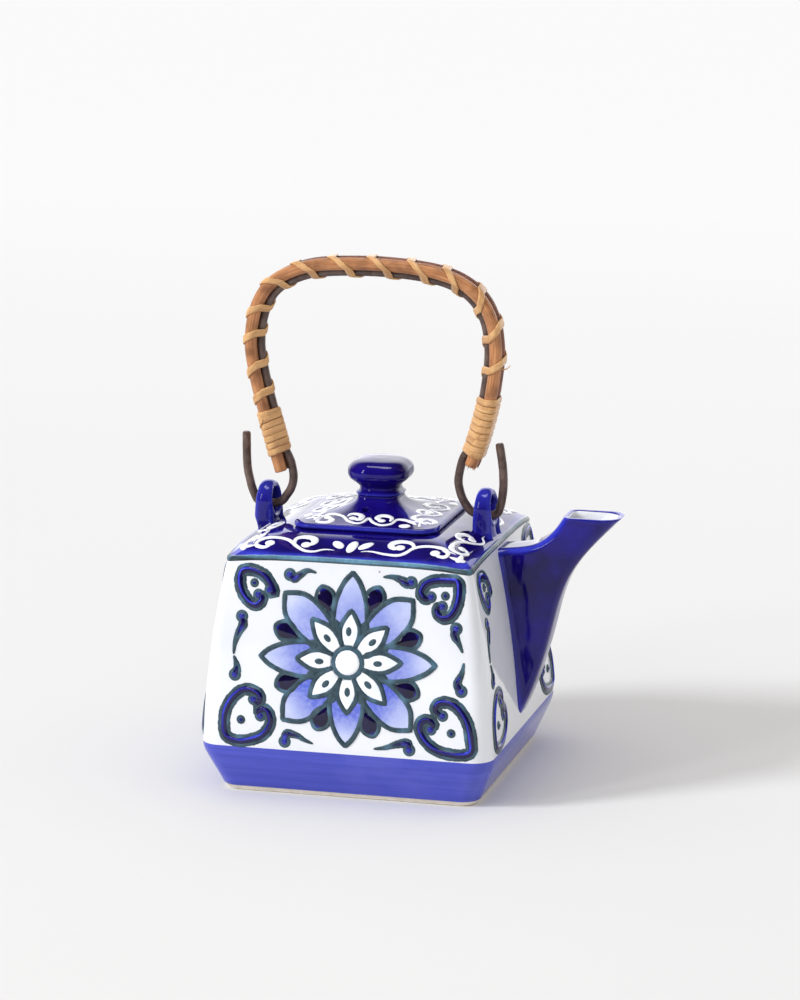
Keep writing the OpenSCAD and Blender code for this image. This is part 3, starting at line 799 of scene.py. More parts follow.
def make_lid():
    rim_h = RIM_Z - LID_Z
    hollow_w = FLANGE_W - 2 * LID_WALL
    bottom = lid_low.z
    underside = [(FLANGE_W * 0.3, RIM_Z + 2.2, WHITE), (FLANGE_W * 0.6, RIM_Z - 0.4, WHITE),
                 (hollow_w - 1, LID_Z - 0.5, WHITE), (hollow_w, LID_Z - 2, WHITE),
                 (hollow_w, bottom + 0.8, WHITE), (hollow_w + 0.8, bottom + 0.1, CLAY),
                 (FLANGE_W - 2, bottom, CLAY), (FLANGE_W - 0.5, bottom + 0.3, CLAY),
                 (FLANGE_W, bottom + 1, CLAY), (FLANGE_W, LID_Z - 0.2, WHITE),
                 (FLANGE_W + 0.6, LID_Z, CLAY), (LID_W - 2.2, LID_Z, CLAY)]
    stations = [(lid_ring(w, z), zone) for w, z, zone in underside]
    for k in range(9):
        a = math.radians(-80 + 160 * k / 8)
        stations.append((lid_ring(LID_W - 1.7 + 1.7 * math.cos(a),
                                  LID_Z + rim_h / 2 + rim_h / 2 * math.sin(a)), COBALT))
    stations += [(lid_ring(lid_width((k / 30) ** 1.25), mix(RIM_Z, NECK_Z, (k / 30) ** 1.25)), COBALT)
                 for k in range(31)]
    bm = bmesh.new()
    thin_glaze_and_light = bm.verts.layers.float.new("thin_glaze_and_light")
    loft(bm, stations)
    for v in bm.verts:
        x, y = abs(v.co.x), abs(v.co.y)
        if v.co.z > LID_Z:
            v[thin_glaze_and_light] = 0.55 * ease(1 - abs(v.co.z - LID_Z - rim_h * 0.6) / 1.2) * ease((max(x, y) - 25) / 2)
            v[thin_glaze_and_light] += 0.3 * ease(1 - abs(x - y) / 2.0) * ease((min(x, y) - 8) / 6)
    lid = piece(bm, "lid_shell", "lid", "cobalt_glaze", GLAZES)
    cut_through(lid, [drill((STEAM_X, STEAM_Y, LID_Z + 6), (0, 0, 1), STEAM_D, 20, glaze[COBALT])])
    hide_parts("lid")


KNOB_LINE = [(0.71, 0.0), (0.745, 0.03), (0.75, 0.06), (0.70, 0.10), (0.65, 0.14), (0.635, 0.19),
             (0.67, 0.26), (0.79, 0.35), (0.92, 0.45), (0.985, 0.54), (1.0, 0.62), (0.99, 0.71),
             (0.95, 0.80), (0.86, 0.885), (0.72, 0.945), (0.52, 0.98), (0.26, 1.0), (0.06, 1.0)]


def make_knob():
    """Square pillow on a waisted neck with a bead at its foot."""
    line = smooth_path(KNOB_LINE, 3)
    stations = [(square_ring(w * KNOB_W, 0.38 * w * KNOB_W, NECK_Z + h * KNOB_H),
                 COBALT) for w, h in line]
    bm = bmesh.new()
    thin_glaze_and_light = bm.verts.layers.float.new("thin_glaze_and_light")
    loft(bm, stations)
    for v in bm.verts:
        h = (v.co.z - NECK_Z) / KNOB_H
        v[thin_glaze_and_light] = 0.3 * ease(1 - abs(h - 0.05) / 0.06)
    knob = piece(bm, "pillow_knob", "lid", "cobalt_glaze", GLAZES)
    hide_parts("lid_knob")


# ---- painted relief ----
SINK = 0.15             # how far the edge of a stroke is buried
FACES = ("front", "right", "back", "left")


def edge_point(u, w, r):
    """Point at distance u from the middle of the front side of a rounded square, measured round its edge."""
    flat = w / 2 - r
    if abs(u) <= flat:
        return u, -w / 2
    a = min((abs(u) - flat) / r, math.pi / 2)
    return math.copysign(flat + r * math.sin(a), u), -(flat + r * math.cos(a))


def turned(x, y, z, face):
    """The same point on another side of the pot: 0 front, 1 spout side, 2 back, 3 left."""
    for _ in range(face):
        x, y = -y, x
    return Vector((x, y, z))


def on_wall(u, z, face=0):
    t0 = t = (z - RIDGE_Z) / (SHOULDER_Z - RIDGE_Z)
    for _ in range(2):
        w = wall_width(t)
        x, y = edge_point(u, w, mix(RIDGE_R, SHOULDER_R, t))
        t = t0 + dip(x, y, w, CORNER_DIP * max(t, 0) ** 2) / (SHOULDER_Z - RIDGE_Z)
    return turned(x, y, z, face)


def on_roof(u, h, face=0):
    """h is the distance in from the shoulder edge, measured flat."""
    s = min(max(2 * h / (SHOULDER_W - SEAT_W), 0), 1)
    w = mix(SHOULDER_W, SEAT_W, s)
    x, y = edge_point(u, w, mix(SHOULDER_R, SEAT_R, s))
    z = SHOULDER_Z + ROOF_RISE * math.sin(math.pi / 2 * s) - dip(x, y, w, CORNER_DIP * (1 - s) ** 2)
    return turned(x, y, z, face)


def on_lid(u, h, face=0):
    """h is the distance in from the top of the lid's rim, measured flat."""
    w = RIM_TOP_W - 2 * h
    rise = 1 - ((w - NECK_W) / (RIM_TOP_W - NECK_W)) ** (1 / 2.6)
    x, y = edge_point(u, w, min(LID_R, 0.28 * w))
    return turned(x, y, mix(RIM_Z, NECK_Z, rise), face)


def raised(surface, u, v, lift, face):
    step = 0.1
    across = surface(u + step, v, face) - surface(u - step, v, face)
    up = surface(u, v + step, face) - surface(u, v - step, face)
    return surface(u, v, face) + across.cross(up).normalized() * lift


class Painter:
    """Lays raised lines and fills on one surface of one face, all in one mesh."""

    def __init__(self, surface, face):
        self.bm = bmesh.new()
        self.thin_glaze_and_light = self.bm.verts.layers.float.new("thin_glaze_and_light")
        self.surface, self.face = surface, face
        self.random = random.Random(face + 7)

    def put(self, verts, tint=None):
        """Bends flat work (x across, y up, z height above the surface) onto the surface."""
        for v in verts:
            if tint:
                v[self.thin_glaze_and_light] = tint(v.co.x, v.co.y)
            v.co = raised(self.surface, v.co.x, v.co.y, v.co.z, self.face)

    def line(self, path, width, height, zone, closed=False, tint=0.3, ends=(0.12, 0.12)):
        """Half-round ribbon. width is a number or a function of the share along the path."""
        count = max(8, min(90, int(sum((b - a).length for a, b in zip(path, path[1:])) / 0.55)))
        path = evened(path, count)
        wobble = [self.random.uniform(-1, 1) for _ in range(count + 1)]

        def place(s, t):
            k = round(s * count)
            a = path[k - 1] if k or not closed else path[count - 1]
            b = path[k + 1] if k < count else (path[1] if closed else path[count])
            if not k and not closed:
                a = path[0]
            d = (b - a).normalized()
            full = width(s) if callable(width) else width
            wide = full * (1 + 0.06 * wobble[k % count if closed else k])
            if not closed:
                wide *= min(1, math.sqrt(max(s, 0.0) / ends[0]) if ends[0] and s < ends[0] else 1,
                            math.sqrt(max(1 - s, 0.0) / ends[1]) if ends[1] and 1 - s < ends[1] else 1)
                wide = max(wide, 0.02)
            side = wide / 2 * math.cos(math.pi * t)
            fade = min(1, wide / max(0.55 * full, 0.01))
            rise = -SINK + (height + SINK) * math.sin(math.pi * t) ** 0.7 * fade
            return Vector((path[k].x - d.y * side, path[k].y + d.x * side, rise))

        verts = sheet(self.bm, count, 8, place, zone)
        self.put(verts, (lambda x, y: tint) if not callable(tint) else tint)

    def fill(self, middle, tip, half_width, start, zone, height, tint, nx=16, ny=8, dome=0.25):
        """Domed leaf from a middle point towards its tip. half_width(q) is in mm, q from start to 1."""
        reach = tip - middle
        side = Vector((-reach.y, reach.x)).normalized()

        def place(s, t):
            q = mix(start, 1, s)
            p = middle + reach * q + side * half_width(q) * (2 * t - 1)
            crown = dome * (1 - (2 * t - 1) ** 2) * math.sin(math.pi * min(max(s * 1.1, 0.02), 0.98)) ** 0.5
            return Vector((p.x, p.y, height + crown))

        verts = sheet(self.bm, nx, ny, place, zone)
        self.put(verts, lambda x, y: tint((Vector((x, y)) - middle).dot(reach) / reach.length_squared, x, y))

    def dot(self, x, y, rx, ry, turn, height, zone, tint=0.2):
        """Small domed bead."""
        ca, sa = math.cos(turn), math.sin(turn)

        def place(s, t):
            a, r = 2 * math.pi * s, math.sin(math.pi / 2 * t)
            p, q = rx * r * math.cos(a), ry * r * math.sin(a)
            return Vector((x + p * ca - q * sa, y + p * sa + q * ca,
                           -SINK + (height + SINK) * math.cos(math.pi / 2 * t) ** 0.8))

        self.put(sheet(self.bm, 18, 5, place, zone), lambda *_: tint)

    def stroke(self, path, width, height, steps=8, ends=(0.12, 0.12)):
        """Line of white slip."""
        self.line(smooth_path(path, steps), width, height, SLIP, tint=0.5, ends=ends)

    def bead(self, x, y, rx, ry, height=0.42, turn=0):
        """Drop of white slip."""
        self.dot(x, y, rx, ry, turn, height, SLIP, 0.5)

    def done(self, name, body, slot):
        bmesh.ops.remove_doubles(self.bm, verts=self.bm.verts, dist=0.004)
        bmesh.ops.dissolve_degenerate(self.bm, edges=self.bm.edges, dist=0.002)
        # every face is turned to look away from the surface it lies on
        self.bm.normal_update()
        wrong = [f for f in self.bm.faces if f.normal.dot(self.outward()) < 0]
        bmesh.ops.reverse_faces(self.bm, faces=wrong)
        return piece(self.bm, name, body, slot, GLAZES, turn_out=False)

    def outward(self):
        side = turned(0, -1, 0, self.face)
        return side if self.surface is on_wall else side * 0.35 + Vector((0, 0, 1))


# half widths of the petals from root to tip, as shares of their length and of their widest half
LEAF = [(0.0, 0.15), (0.2, 0.55), (0.4, 0.96), (0.55, 1.0), (0.7, 0.88), (0.82, 0.66), (0.92, 0.38),
        (1.0, 0.0)]
SQUARE_LEAF = [(0.0, 0.15), (0.2, 0.5), (0.4, 0.86), (0.55, 1.0), (0.7, 1.0), (0.82, 0.86), (0.9, 0.58),
               (1.0, 0.0)]
INNER_LEAF = [(0.0, 0.70), (0.08, 0.84), (0.2, 0.93), (0.4, 1.0), (0.6, 0.86), (0.8, 0.5), (0.92, 0.24),
              (1.0, 0.0)]


def profile(table, q):
    for (qa, wa), (qb, wb) in zip(table, table[1:]):
        if q <= qb:
            return mix(wa, wb, (q - qa) / (qb - qa))
    return table[-1][1]


def smooth_profile(table):
    curve = smooth_path(table, 6)
    return lambda q: profile([(p.x, p.y) for p in curve], q)


leaf, square_leaf = smooth_profile(LEAF), smooth_profile(SQUARE_LEAF)
inner_leaf = smooth_profile(INNER_LEAF)
CENTRE = Vector((1.6, 53.3))
PETAL_HALF, BUD_HALF = 6.4, 3.35                    # widest half of a petal and of a bud
INNER_HALF, INNER_LINE_HALF, INNER_ROOT = 3.45, 3.75, 6.6
OUTLINE_W, INNER_OUTLINE_W = 2.0, 1.9
BUD_ROOT, BUD_CROWN = 6.5, 2.9                      # how far a bud reaches in and out from its middle
HEART_LINE_W, HEART_INK_W, HEART_HIGHLIGHT_W = 5.0, 2.6, 1.15
DROP_HEAD_W, DROP_TAIL_W = 5.4, 0.8
OUTER_TIPS = [(2.4, 86.1), (25.6, 77.5), (34.9, 54.3), (26.0, 29.9), (1.2, 22.2), (-22.9, 30.6),
              (-31.8, 53.8), (-23.2, 77.4)]
INNER_TIPS = [(2.5, 72.4), (16.4, 67.0), (22.1, 54.4), (16.2, 39.1), (1.7, 34.6), (-12.6, 39.7),
              (-17.9, 53.7), (-12.4, 68.5)]
BUDS = [(11.8, 78.6), (26.3, 63.8), (25.9, 44.0), (11.0, 29.4), (-8.8, 30.6), (-22.9, 44.1), (-23.7, 64.1),
        (-8.2, 77.7)]
SEEDS = [(1.8, 64.8), (10.9, 61.4), (13.2, 53.7), (9.7, 45.6), (1.8, 42.4), (-6.6, 45.0), (-9.3, 53.2),
         (-6.4, 61.9)]
HEARTS = [
    ([(-29.1, 78.1), (-27.5, 76.8), (-28.5, 79.6), (-31.1, 82.9), (-34.9, 84.7), (-38.6, 84.9), (-40.4, 83.5),
      (-40.7, 80.1), (-39.5, 76.4), (-37.0, 73.4), (-34.3, 72.2), (-32.2, 73.7), (-32.1, 75.6),
      (-33.4, 76.1)], (-35.2, 80.3)),
    ([(32.2, 79.1), (30.2, 78.4), (28.5, 80.5), (30.3, 83.7), (34.1, 85.1), (38.6, 85.4), (41.9, 85.1),
      (42.8, 81.9), (42.3, 77.0), (40.5, 73.1), (37.7, 71.7), (35.4, 72.8), (34.9, 75.0), (36.6, 75.9)],
     (37.6, 79.8)),
    ([(-34.3, 37.3), (-32.6, 36.0), (-31.7, 38.7), (-34.7, 40.7), (-38.7, 40.5), (-42.4, 37.3), (-45.0, 32.6),
      (-45.6, 27.3), (-44.6, 22.8), (-39.9, 21.3), (-34.5, 22.3), (-30.2, 24.5), (-27.7, 28.6), (-28.3, 32.5),
      (-30.3, 33.9), (-32.5, 32.9), (-31.6, 31.3)], (-39.1, 29.4)),
    ([(38.0, 36.1), (35.5, 37.9), (36.4, 40.5), (40.3, 41.1), (44.3, 38.8), (47.5, 33.9), (48.9, 27.6),
      (48.8, 23.1), (44.0, 21.8), (37.4, 22.6), (32.8, 25.2), (29.8, 29.5), (30.1, 33.0), (32.7, 34.2),
      (34.8, 32.5), (33.7, 30.7)], (41.4, 29.8))]
DROPS = [
    [(-21.9, 84.3), (-20.2, 82.9), (-17.6, 84.3), (-15.0, 85.9), (-11.3, 85.3)],
    [(24.8, 84.0), (23.2, 83.3), (20.5, 84.7), (17.2, 85.5), (13.6, 85.2)],
    [(-39.6, 68.2), (-39.0, 65.0), (-40.6, 61.8), (-41.9, 57.9), (-42.4, 53.4)],
    [(-41.8, 45.7), (-40.9, 49.0), (-42.3, 53.4)],
    [(42.3, 68.6), (41.8, 65.7), (43.5, 62.7), (45.1, 59.4)],
    [(45.1, 45.2), (43.4, 48.3), (44.9, 52.2), (45.6, 56.3)],
    [(-22.2, 21.8), (-21.2, 25.2), (-17.2, 24.8), (-14.5, 23.4), (-10.9, 22.1)],
    [(25.7, 22.1), (25.0, 24.9), (21.1, 24.3), (16.5, 22.7), (11.8, 21.9)]]


def leaf_edge(middle, tip, half_width, start):
    """Closed outline of a leaf, from its root round the tip and back."""
    reach = tip - middle
    side = Vector((-reach.y, reach.x)).normalized()
    out = [mix(start, 1, k / 24) for k in range(24)]
    back = [mix(1, start, k / 24) for k in range(1, 25)]
    left = [middle + reach * q + side * half_width(q) for q in out]
    right = [middle + reach * q - side * half_width(q) for q in back]
    return left + [tip.copy()] + right


def rim_tint(x, y):
    """Patchy thinness along an outline."""
    return 0.08 + 0.30 * max(0.0, math.sin(x * 0.55 + 1.3) * math.sin(y * 0.48 + 0.4)) ** 1.5


def paint_rosette(brush):
    for near, far in zip(INNER_TIPS, INNER_TIPS[1:] + INNER_TIPS[:1]):
        gap = ((Vector(near) - CENTRE).normalized() + (Vector(far) - CENTRE).normalized()).normalized()
        brush.line([CENTRE + gap * r for r in (6.0, 9.0, 12.0, 16.8)], lambda s: mix(2.2, 6.0, s), 0.44, LINE,
                   tint=0.1, ends=(0.05, 0.3))
    for k, tip in enumerate(OUTER_TIPS):
        tip = Vector(tip)
        shape = square_leaf if k % 2 else leaf
        wide = (lambda q, shape=shape: PETAL_HALF * shape(q))
        low = (tip.y - CENTRE.y) / 33

        def tint(q, x, y, low=low):
            return 1.1 * ease((0.95 - q) / 0.42) * (0.76 - 0.26 * low)

        brush.fill(CENTRE, tip, lambda q, w=wide: w(q) * 0.96, 0.3, PETAL, 0.08, tint)
        brush.line(leaf_edge(CENTRE, tip, wide, 0.34), OUTLINE_W, 0.62, LINE, ends=(0.02, 0.02),
                   tint=rim_tint)
    for bud in BUDS:
        bud = Vector(bud)
        out = (bud - CENTRE).normalized()
        root, crown = bud - out * BUD_ROOT, bud + out * BUD_CROWN
        brush.line([root - out * 3, root, root + out * 4.5], lambda s: mix(9.5, 7.0, s), 0.06, LINE, tint=0.1,
                   ends=(0.1, 0.3))

        def cup(q):
            return BUD_HALF * math.sin(math.pi * min(max(q, 0.0), 1.0) ** 1.2) ** 0.7

        brush.fill(root, crown, lambda q: cup(q) * 0.95, 0.02, INK, 0.34,
                   lambda q, x, y: 0.5 * ease((q - 0.8) / 0.15), dome=0.35)
        brush.line(leaf_edge(root, crown, cup, 0.05), OUTLINE_W, 0.5, LINE, ends=(0.03, 0.03), tint=rim_tint)
    for tip in INNER_TIPS:
        tip = Vector(tip)
        foot = CENTRE + (tip - CENTRE).normalized() * INNER_ROOT
        brush.fill(foot, tip, lambda q: INNER_HALF * inner_leaf(q), 0.0, SLIP, 0.24, lambda *_: 0.2, dome=0.3)
        brush.line(leaf_edge(foot, tip, lambda q: INNER_LINE_HALF * inner_leaf(q), 0.0), INNER_OUTLINE_W,
                   0.78, LINE, closed=True, tint=rim_tint)
    for seed in SEEDS:
        out = Vector(seed) - CENTRE
        brush.dot(seed[0], seed[1], 2.4, 1.5, math.atan2(out.y, out.x), 0.75, LINE, 0.1)
    brush.dot(CENTRE.x, CENTRE.y, 6.6, 6.6, 0, 0.62, LINE, 0.2)
    brush.dot(CENTRE.x, CENTRE.y, 4.9, 4.9, 0, 1.25, SLIP, 0.6)


def paint_heart(brush, path, seed):
    path = smooth_path(path, 8)
    brush.line(path, HEART_LINE_W, 0.42, LINE, tint=rim_tint, ends=(0.03, 0.03))
    for end in (path[0], path[-1]):
        brush.dot(end.x, end.y, 2.3, 2.3, 0, 0.46, LINE, 0.15)
        brush.dot(end.x, end.y, 1.35, 1.35, 0, 0.86, INK, 0.5)
    brush.line(path, HEART_INK_W, 0.72, INK, tint=0.05, ends=(0.05, 0.05))
    # painted highlight: a lighter cobalt streak set a little up and to the left of the middle of the heart's
    # line
    highlight_streak = [p + Vector((-0.35, 0.45)) for p in path[4:-4]]
    brush.line(highlight_streak, HEART_HIGHLIGHT_W, 0.88, COBALT, ends=(0.2, 0.2),
               tint=lambda x, y: 0.55 + 0.4 * math.sin(x * 0.3 + y * 0.24))
    brush.dot(seed[0], seed[1], 1.75, 1.75, 0, 0.6, LINE, 0.1)
    brush.dot(seed[0] + 0.1, seed[1], 0.8, 0.8, 0, 0.85, COBALT, 0.1)


def pooled_tint(x, y):
    """Light spots where the dark glaze is thinner."""
    return 0.1 + 0.75 * max(0.0, math.sin(x * 1.1 + 0.5) * math.cos(y * 0.8))


def paint_drop(brush, path):
    path = smooth_path(path, 8)
    brush.line(path, lambda s: mix(DROP_HEAD_W, DROP_TAIL_W, s ** 0.8), 0.45, LINE, tint=rim_tint,
               ends=(0.22, 0.06))
    brush.dot(path[1].x, path[1].y, 2.5, 2.5, 0, 0.5, LINE, 0.15)
    brush.dot(path[1].x, path[1].y, 1.3, 1.3, 0, 0.95, INK, 0.6)
    brush.line(path[: int(len(path) * 0.66)], lambda s: mix(3.0, 0.6, s), 0.8, INK, tint=pooled_tint,
               ends=(0.3, 0.3))


def paint_walls():
    for face, name in enumerate(FACES):
        brush = Painter(on_wall, face)
        if name != "right":
            paint_rosette(brush)
        for path, seed in HEARTS:
            paint_heart(brush, path, seed)
        for path in DROPS:
            if name == "right" and abs(path[0][0]) < 30:
                continue
            paint_drop(brush, path)
        brush.done("relief_" + name, "pot", "white_glaze")


ROOF_STEMS = [
    [(-6.0, 4.6), (-10.3, 4.6), (-13.7, 3.3), (-17.4, 3.5), (-21.1, 5.7), (-24.5, 8.7), (-28.0, 10.2),
     (-31.8, 10.4), (-35.2, 9.3), (-37.0, 7.4), (-36.5, 5.6), (-33.7, 4.6), (-31.6, 5.6), (-31.8, 7.0)],
    [(3.4, 4.6), (7.8, 5.0), (12.9, 4.1), (17.8, 3.9), (20.5, 5.4), (22.7, 8.3), (25.9, 10.0), (30.1, 10.4),
     (34.2, 9.3), (36.3, 7.0), (35.3, 5.2), (32.6, 5.4), (31.5, 6.7)]]
ROOF_CURLS = [
    [(-21.4, 5.6), (-22.6, 8.1), (-22.2, 10.5), (-19.8, 11.7), (-16.7, 11.3), (-15.1, 9.4), (-15.8, 7.4),
     (-17.8, 6.8)],
    [(21.9, 7.0), (22.8, 9.3), (20.9, 11.8), (17.4, 12.4), (14.7, 11.1), (14.2, 8.9), (16.0, 7.6),
     (17.8, 8.3)]]
ROOF_SEEDS = [(-5.7, 7.9, 2.9, 1.75, -0.7), (-0.2, 7.2, 1.95, 3.6, -0.2), (4.8, 8.1, 3.3, 1.6, 0.7)]
CORNER_TICKS = [[(-41.5, 7.2), (-39.6, 8.4), (-38.6, 6.4)], [(-43.4, 9.6), (-41.2, 10.8), (-40.3, 8.9)],
                [(38.4, 9.6), (40.2, 11.2), (41.0, 8.9)], [(42.9, 9.4), (41.7, 12.2), (39.4, 12.9)]]
LID_WAVE = [(-18.0, 3.5), (-16.8, 6.8), (-13.8, 8.6), (-9.9, 7.7), (-6.5, 3.5), (-3.1, 1.9), (-1.0, 3.1),
            (0.3, 7.7), (3.2, 3.5), (6.8, 1.5), (10.0, 3.1), (11.3, 7.1), (14.2, 7.1), (17.6, 5.0),
            (20.0, 2.9)]
LID_CURLS = [[(-17.6, 4.0), (-18.2, 1.6), (-15.5, 0.9), (-13.4, 1.9), (-13.2, 4.3), (-15.3, 5.7)],
             [(-8.1, 7.7), (-6.9, 9.8), (-4.1, 9.8), (-2.4, 8.0), (-3.1, 5.5), (-5.5, 6.4)],
             [(9.1, 5.2), (9.0, 8.3), (6.7, 9.8), (4.3, 9.6), (3.7, 7.4), (5.8, 5.6)]]
LID_TICKS = [[(19.6, 3.4), (18.2, 4.6), (19.4, 6.4), (17.9, 7.6)], [(21.6, 1.4), (20.9, 3.2), (22.0, 4.6)],
             [(-20.3, 2.2), (-19.0, 4.4), (-20.4, 5.8)]]
LID_WAVE_W, TICK_W = 1.4, 1.1
TICK_ENDS, CURL_ENDS = (0.15, 0.3), (0.1, 0.25)     # shares of a stroke over which its ends taper


def stem_width(s):
    return mix(0.6, 1.55, ease(s * 2.2)) * mix(1, 1.35, ease(s * 4 - 3))


def paint_roof():
    for face, name in enumerate(FACES):
        brush = Painter(on_roof, face)
        for path in ROOF_STEMS:
            brush.stroke(path, stem_width, 0.32)
        for path in ROOF_STEMS + ROOF_CURLS:
            brush.bead(*path[-1], 1.95, 1.6)
        for path in CORNER_TICKS:
            brush.stroke(path, TICK_W, 0.3, 6, TICK_ENDS)
        for path in ROOF_CURLS:
            brush.stroke(path, lambda s: mix(1.2, 3.0, ease(s * 1.5)), 0.36, ends=CURL_ENDS)
        if name in ("front", "back"):
            for x, y, rx, ry, turn in ROOF_SEEDS:
                brush.bead(x, y, rx, ry, turn=turn)
        for x, y in ((-42.2, 4.4), (41.6, 4.6)):
            brush.bead(x, y, 2.0, 1.3, 0.4, math.copysign(0.3, x))
        brush.done("roof_scroll_" + name, "pot", "white_glaze")


def paint_lid():
    for face, name in enumerate(FACES):
        brush = Painter(on_lid, face)
        brush.stroke(LID_WAVE[:8], LID_WAVE_W, 0.34, ends=(0.15, 0.05))
        brush.stroke(LID_WAVE[7:], LID_WAVE_W, 0.34, ends=(0.05, 0.15))
        for path in LID_CURLS:
            brush.stroke(path, lambda s: mix(1.3, 2.6, ease(s * 1.4)), 0.36, ends=CURL_ENDS)
        for path in LID_CURLS:
            brush.bead(*path[-1], 1.6, 1.35)
        brush.bead(15.6, 1.9, 2.3, 1.7, 0.45)
        for path in LID_TICKS:
            brush.stroke(path, TICK_W, 0.3, 6, TICK_ENDS)
        brush.done("lid_scroll_" + name, "lid", "white_glaze")


# ---- handle ----
# Middle line of the two canes: x and height above the hinge line, from the left end to the right end.
BOW = [(-38.6, 12.9), (-40.6, 20), (-42.9, 28.5), (-45.3, 37), (-47.6, 46), (-49.2, 54), (-50, 61),
       (-49.4, 69), (-47.2, 77), (-42.8, 84), (-35.6, 89), (-26, 92.2), (-14, 93.4), (0, 93.6), (13, 92.8),
       (24, 91), (32.6, 87.6), (39.2, 82), (43.4, 74), (44.9, 65), (44.8, 57), (43.6, 48), (41.8, 39),
       (39.2, 29.5), (37, 23), (35.4, 18.9)]
bow_line = smooth_path(BOW, 10)
bow_run = [0.0]
for before, after in zip(bow_line, bow_line[1:]):
    bow_run.append(bow_run[-1] + (after - before).length)
BOW_LEN = bow_run[-1]
CANE_Y = (CANE_D + ROD_GAP) / 2
WIRE_DROP = math.sqrt(((CANE_D + WIRE_D) / 2 + ROD_GAP) ** 2 - CANE_Y ** 2)
RODS = [(-CANE_Y, 0, CANE_D / 2), (CANE_Y, 0, CANE_D / 2), (0, WIRE_DROP, WIRE_D / 2)]


def bow_at(s):
    s = min(max(s, 0), BOW_LEN)
    low, high = 0, len(bow_run) - 2
    while low < high:
        middle = (low + high + 1) // 2
        if bow_run[middle] <= s:
            low = middle
        else:
            high = middle - 1
    return bow_line[low].lerp(bow_line[low + 1], (s - bow_run[low]) / (bow_run[low + 1] - bow_run[low]))


def bow_dir(s):
    return (bow_at(s + 1) - bow_at(s - 1)).normalized()


def inside_bow(s, drop):
    d = bow_dir(s)
    return bow_at(s) + drop * Vector((d.y, -d.x))


def around(a, gap):
    """Point on a strip pulled tight round canes and wire, where it faces the angle a (sideways, inward)."""
    ux, uy = math.cos(a), math.sin(a)
    x, y, r = max(RODS, key=lambda rod: rod[0] * ux + rod[1] * uy + rod[2])
    return x + (r + gap) * ux, y + (r + gap) * uy


def in_bundle(p, s):
    q = inside_bow(s, p[1])
    return Vector((q.x, p[0], HINGE_Z + q.y))


def rod(bm, path, radius, sides, grain=None, y=0.0):
    """Round rod along x, height points in a plane y. radius is a number or radius(share, angle)."""
    count = len(path) - 1
    run = [0.0]
    for a, b in zip(path, path[1:]):
        run.append(run[-1] + (b - a).length)
    ring = bmesh.ops.create_circle(bm, cap_ends=True, radius=1, segments=sides)["verts"]
    for i, p in enumerate(path):
        if i:
            ring = next_ring(bm, ring)
        d = (path[min(i + 1, count)] - path[max(i - 1, 0)]).normalized()
        for k, v in enumerate(ring):
            a = 2 * math.pi * k / sides
            r = radius(run[i] / run[-1], a) if callable(radius) else radius
            v.co = (p.x - d.y * r * math.cos(a), y + r * math.sin(a), HINGE_Z + p.y + d.x * r * math.cos(a))
            if grain is not None:
                v[grain] = (r * math.cos(a) + y * 3, r * math.sin(a), run[i])
    bmesh.ops.contextual_create(bm, geom=ring)


def arc_bend(x, side, r, turn):
    """Bend that leaves the hinge line at x and turns upwards; side is -1 to the left, 1 to the right."""
    return [Vector((x + side * r * math.sin(a), r * (1 - math.cos(a))))
            for a in (math.radians(turn) * k / 8 for k in range(9))]


def bent_run(first, points):
    return first + smooth_path([first[-1]] + points, 6)[1:]


# open hooks: distance outside the middle of the lug, height above the hinge line
LEFT_HOOK = [(6.4, 5), (7.3, 8.4), (8.2, 12.8), (8.5, 18.5), (8.5, 27.2)]
RIGHT_HOOK = [(5.9, 5), (6.5, 9), (6.7, 13.6), (6.3, 19.6), (5.1, 27.6)]


def make_wire():
    """One steel wire: hooked through both lug eyes, and bound under the canes in between."""
    left_x = (lug_boxes["left"][0].x + lug_boxes["left"][1].x) / 2
    right_x = (lug_boxes["right"][0].x + lug_boxes["right"][1].x) / 2
    left_leg_x = -(LID_W / 2 + LEFT_LEG_GAP + WIRE_D / 2)
    right_leg_x = LID_W / 2 + RIGHT_LEG_GAP + WIRE_D / 2
    slack = WIRE_DROP + 0.7
    left_hook = bent_run(arc_bend(left_x - PIN_LEN / 2, -1, 3, 64), [(left_x - a, b) for a, b in LEFT_HOOK])
    right_hook = bent_run(arc_bend(right_x + PIN_LEN / 2, 1, 3, 66),
                          [(right_x + a, b) for a, b in RIGHT_HOOK])
    left_leg = bent_run(arc_bend(left_x + PIN_LEN / 2, 1, 5, 60),
                        [(left_leg_x - 1, 6.1), (left_leg_x, 10.6), inside_bow(2.5, slack),
                         inside_bow(LEFT_TAIL + 1, WIRE_DROP)])
    right_leg = bent_run(arc_bend(right_x - PIN_LEN / 2, -1, 6, 50),
                         [(right_leg_x + 1.6, 5.6), (right_leg_x + 0.3, 9.6), (right_leg_x, 13.6),
                          inside_bow(BOW_LEN - 0.3, slack), inside_bow(BOW_LEN - RIGHT_TAIL - 1, WIRE_DROP)])
    covered = [inside_bow(LEFT_TAIL + 3 + k * 2, WIRE_DROP) for k in range(int((BOW_LEN - 16) / 2))]
    path = list(reversed(left_hook)) + left_leg + covered + list(reversed(right_leg)) + right_hook
    radius = WIRE_D / 2 - 0.02

    def dressed(share, a):
        """Slightly drawn wire with rounded cut ends."""
        end = min(share, 1 - share) * 420
        return radius * (min(1, 0.72 + 0.28 * math.sqrt(min(end, 1))) - 0.012 * math.sin(share * 190) ** 2)

    first, last = path[0], path[-1]
    d = (path[1] - first).normalized()
    path = [first, first + d * 0.25, first + d * 0.5] + path[1:]
    d = (path[-2] - last).normalized()
    path = path[:-1] + [last + d * 0.5, last + d * 0.25, last]
    bm = bmesh.new()
    rod(bm, path, dressed, 20)
    wire = piece(bm, "bail_wire", "handle", "wire", [wire_finish])
    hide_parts("handle_wire")


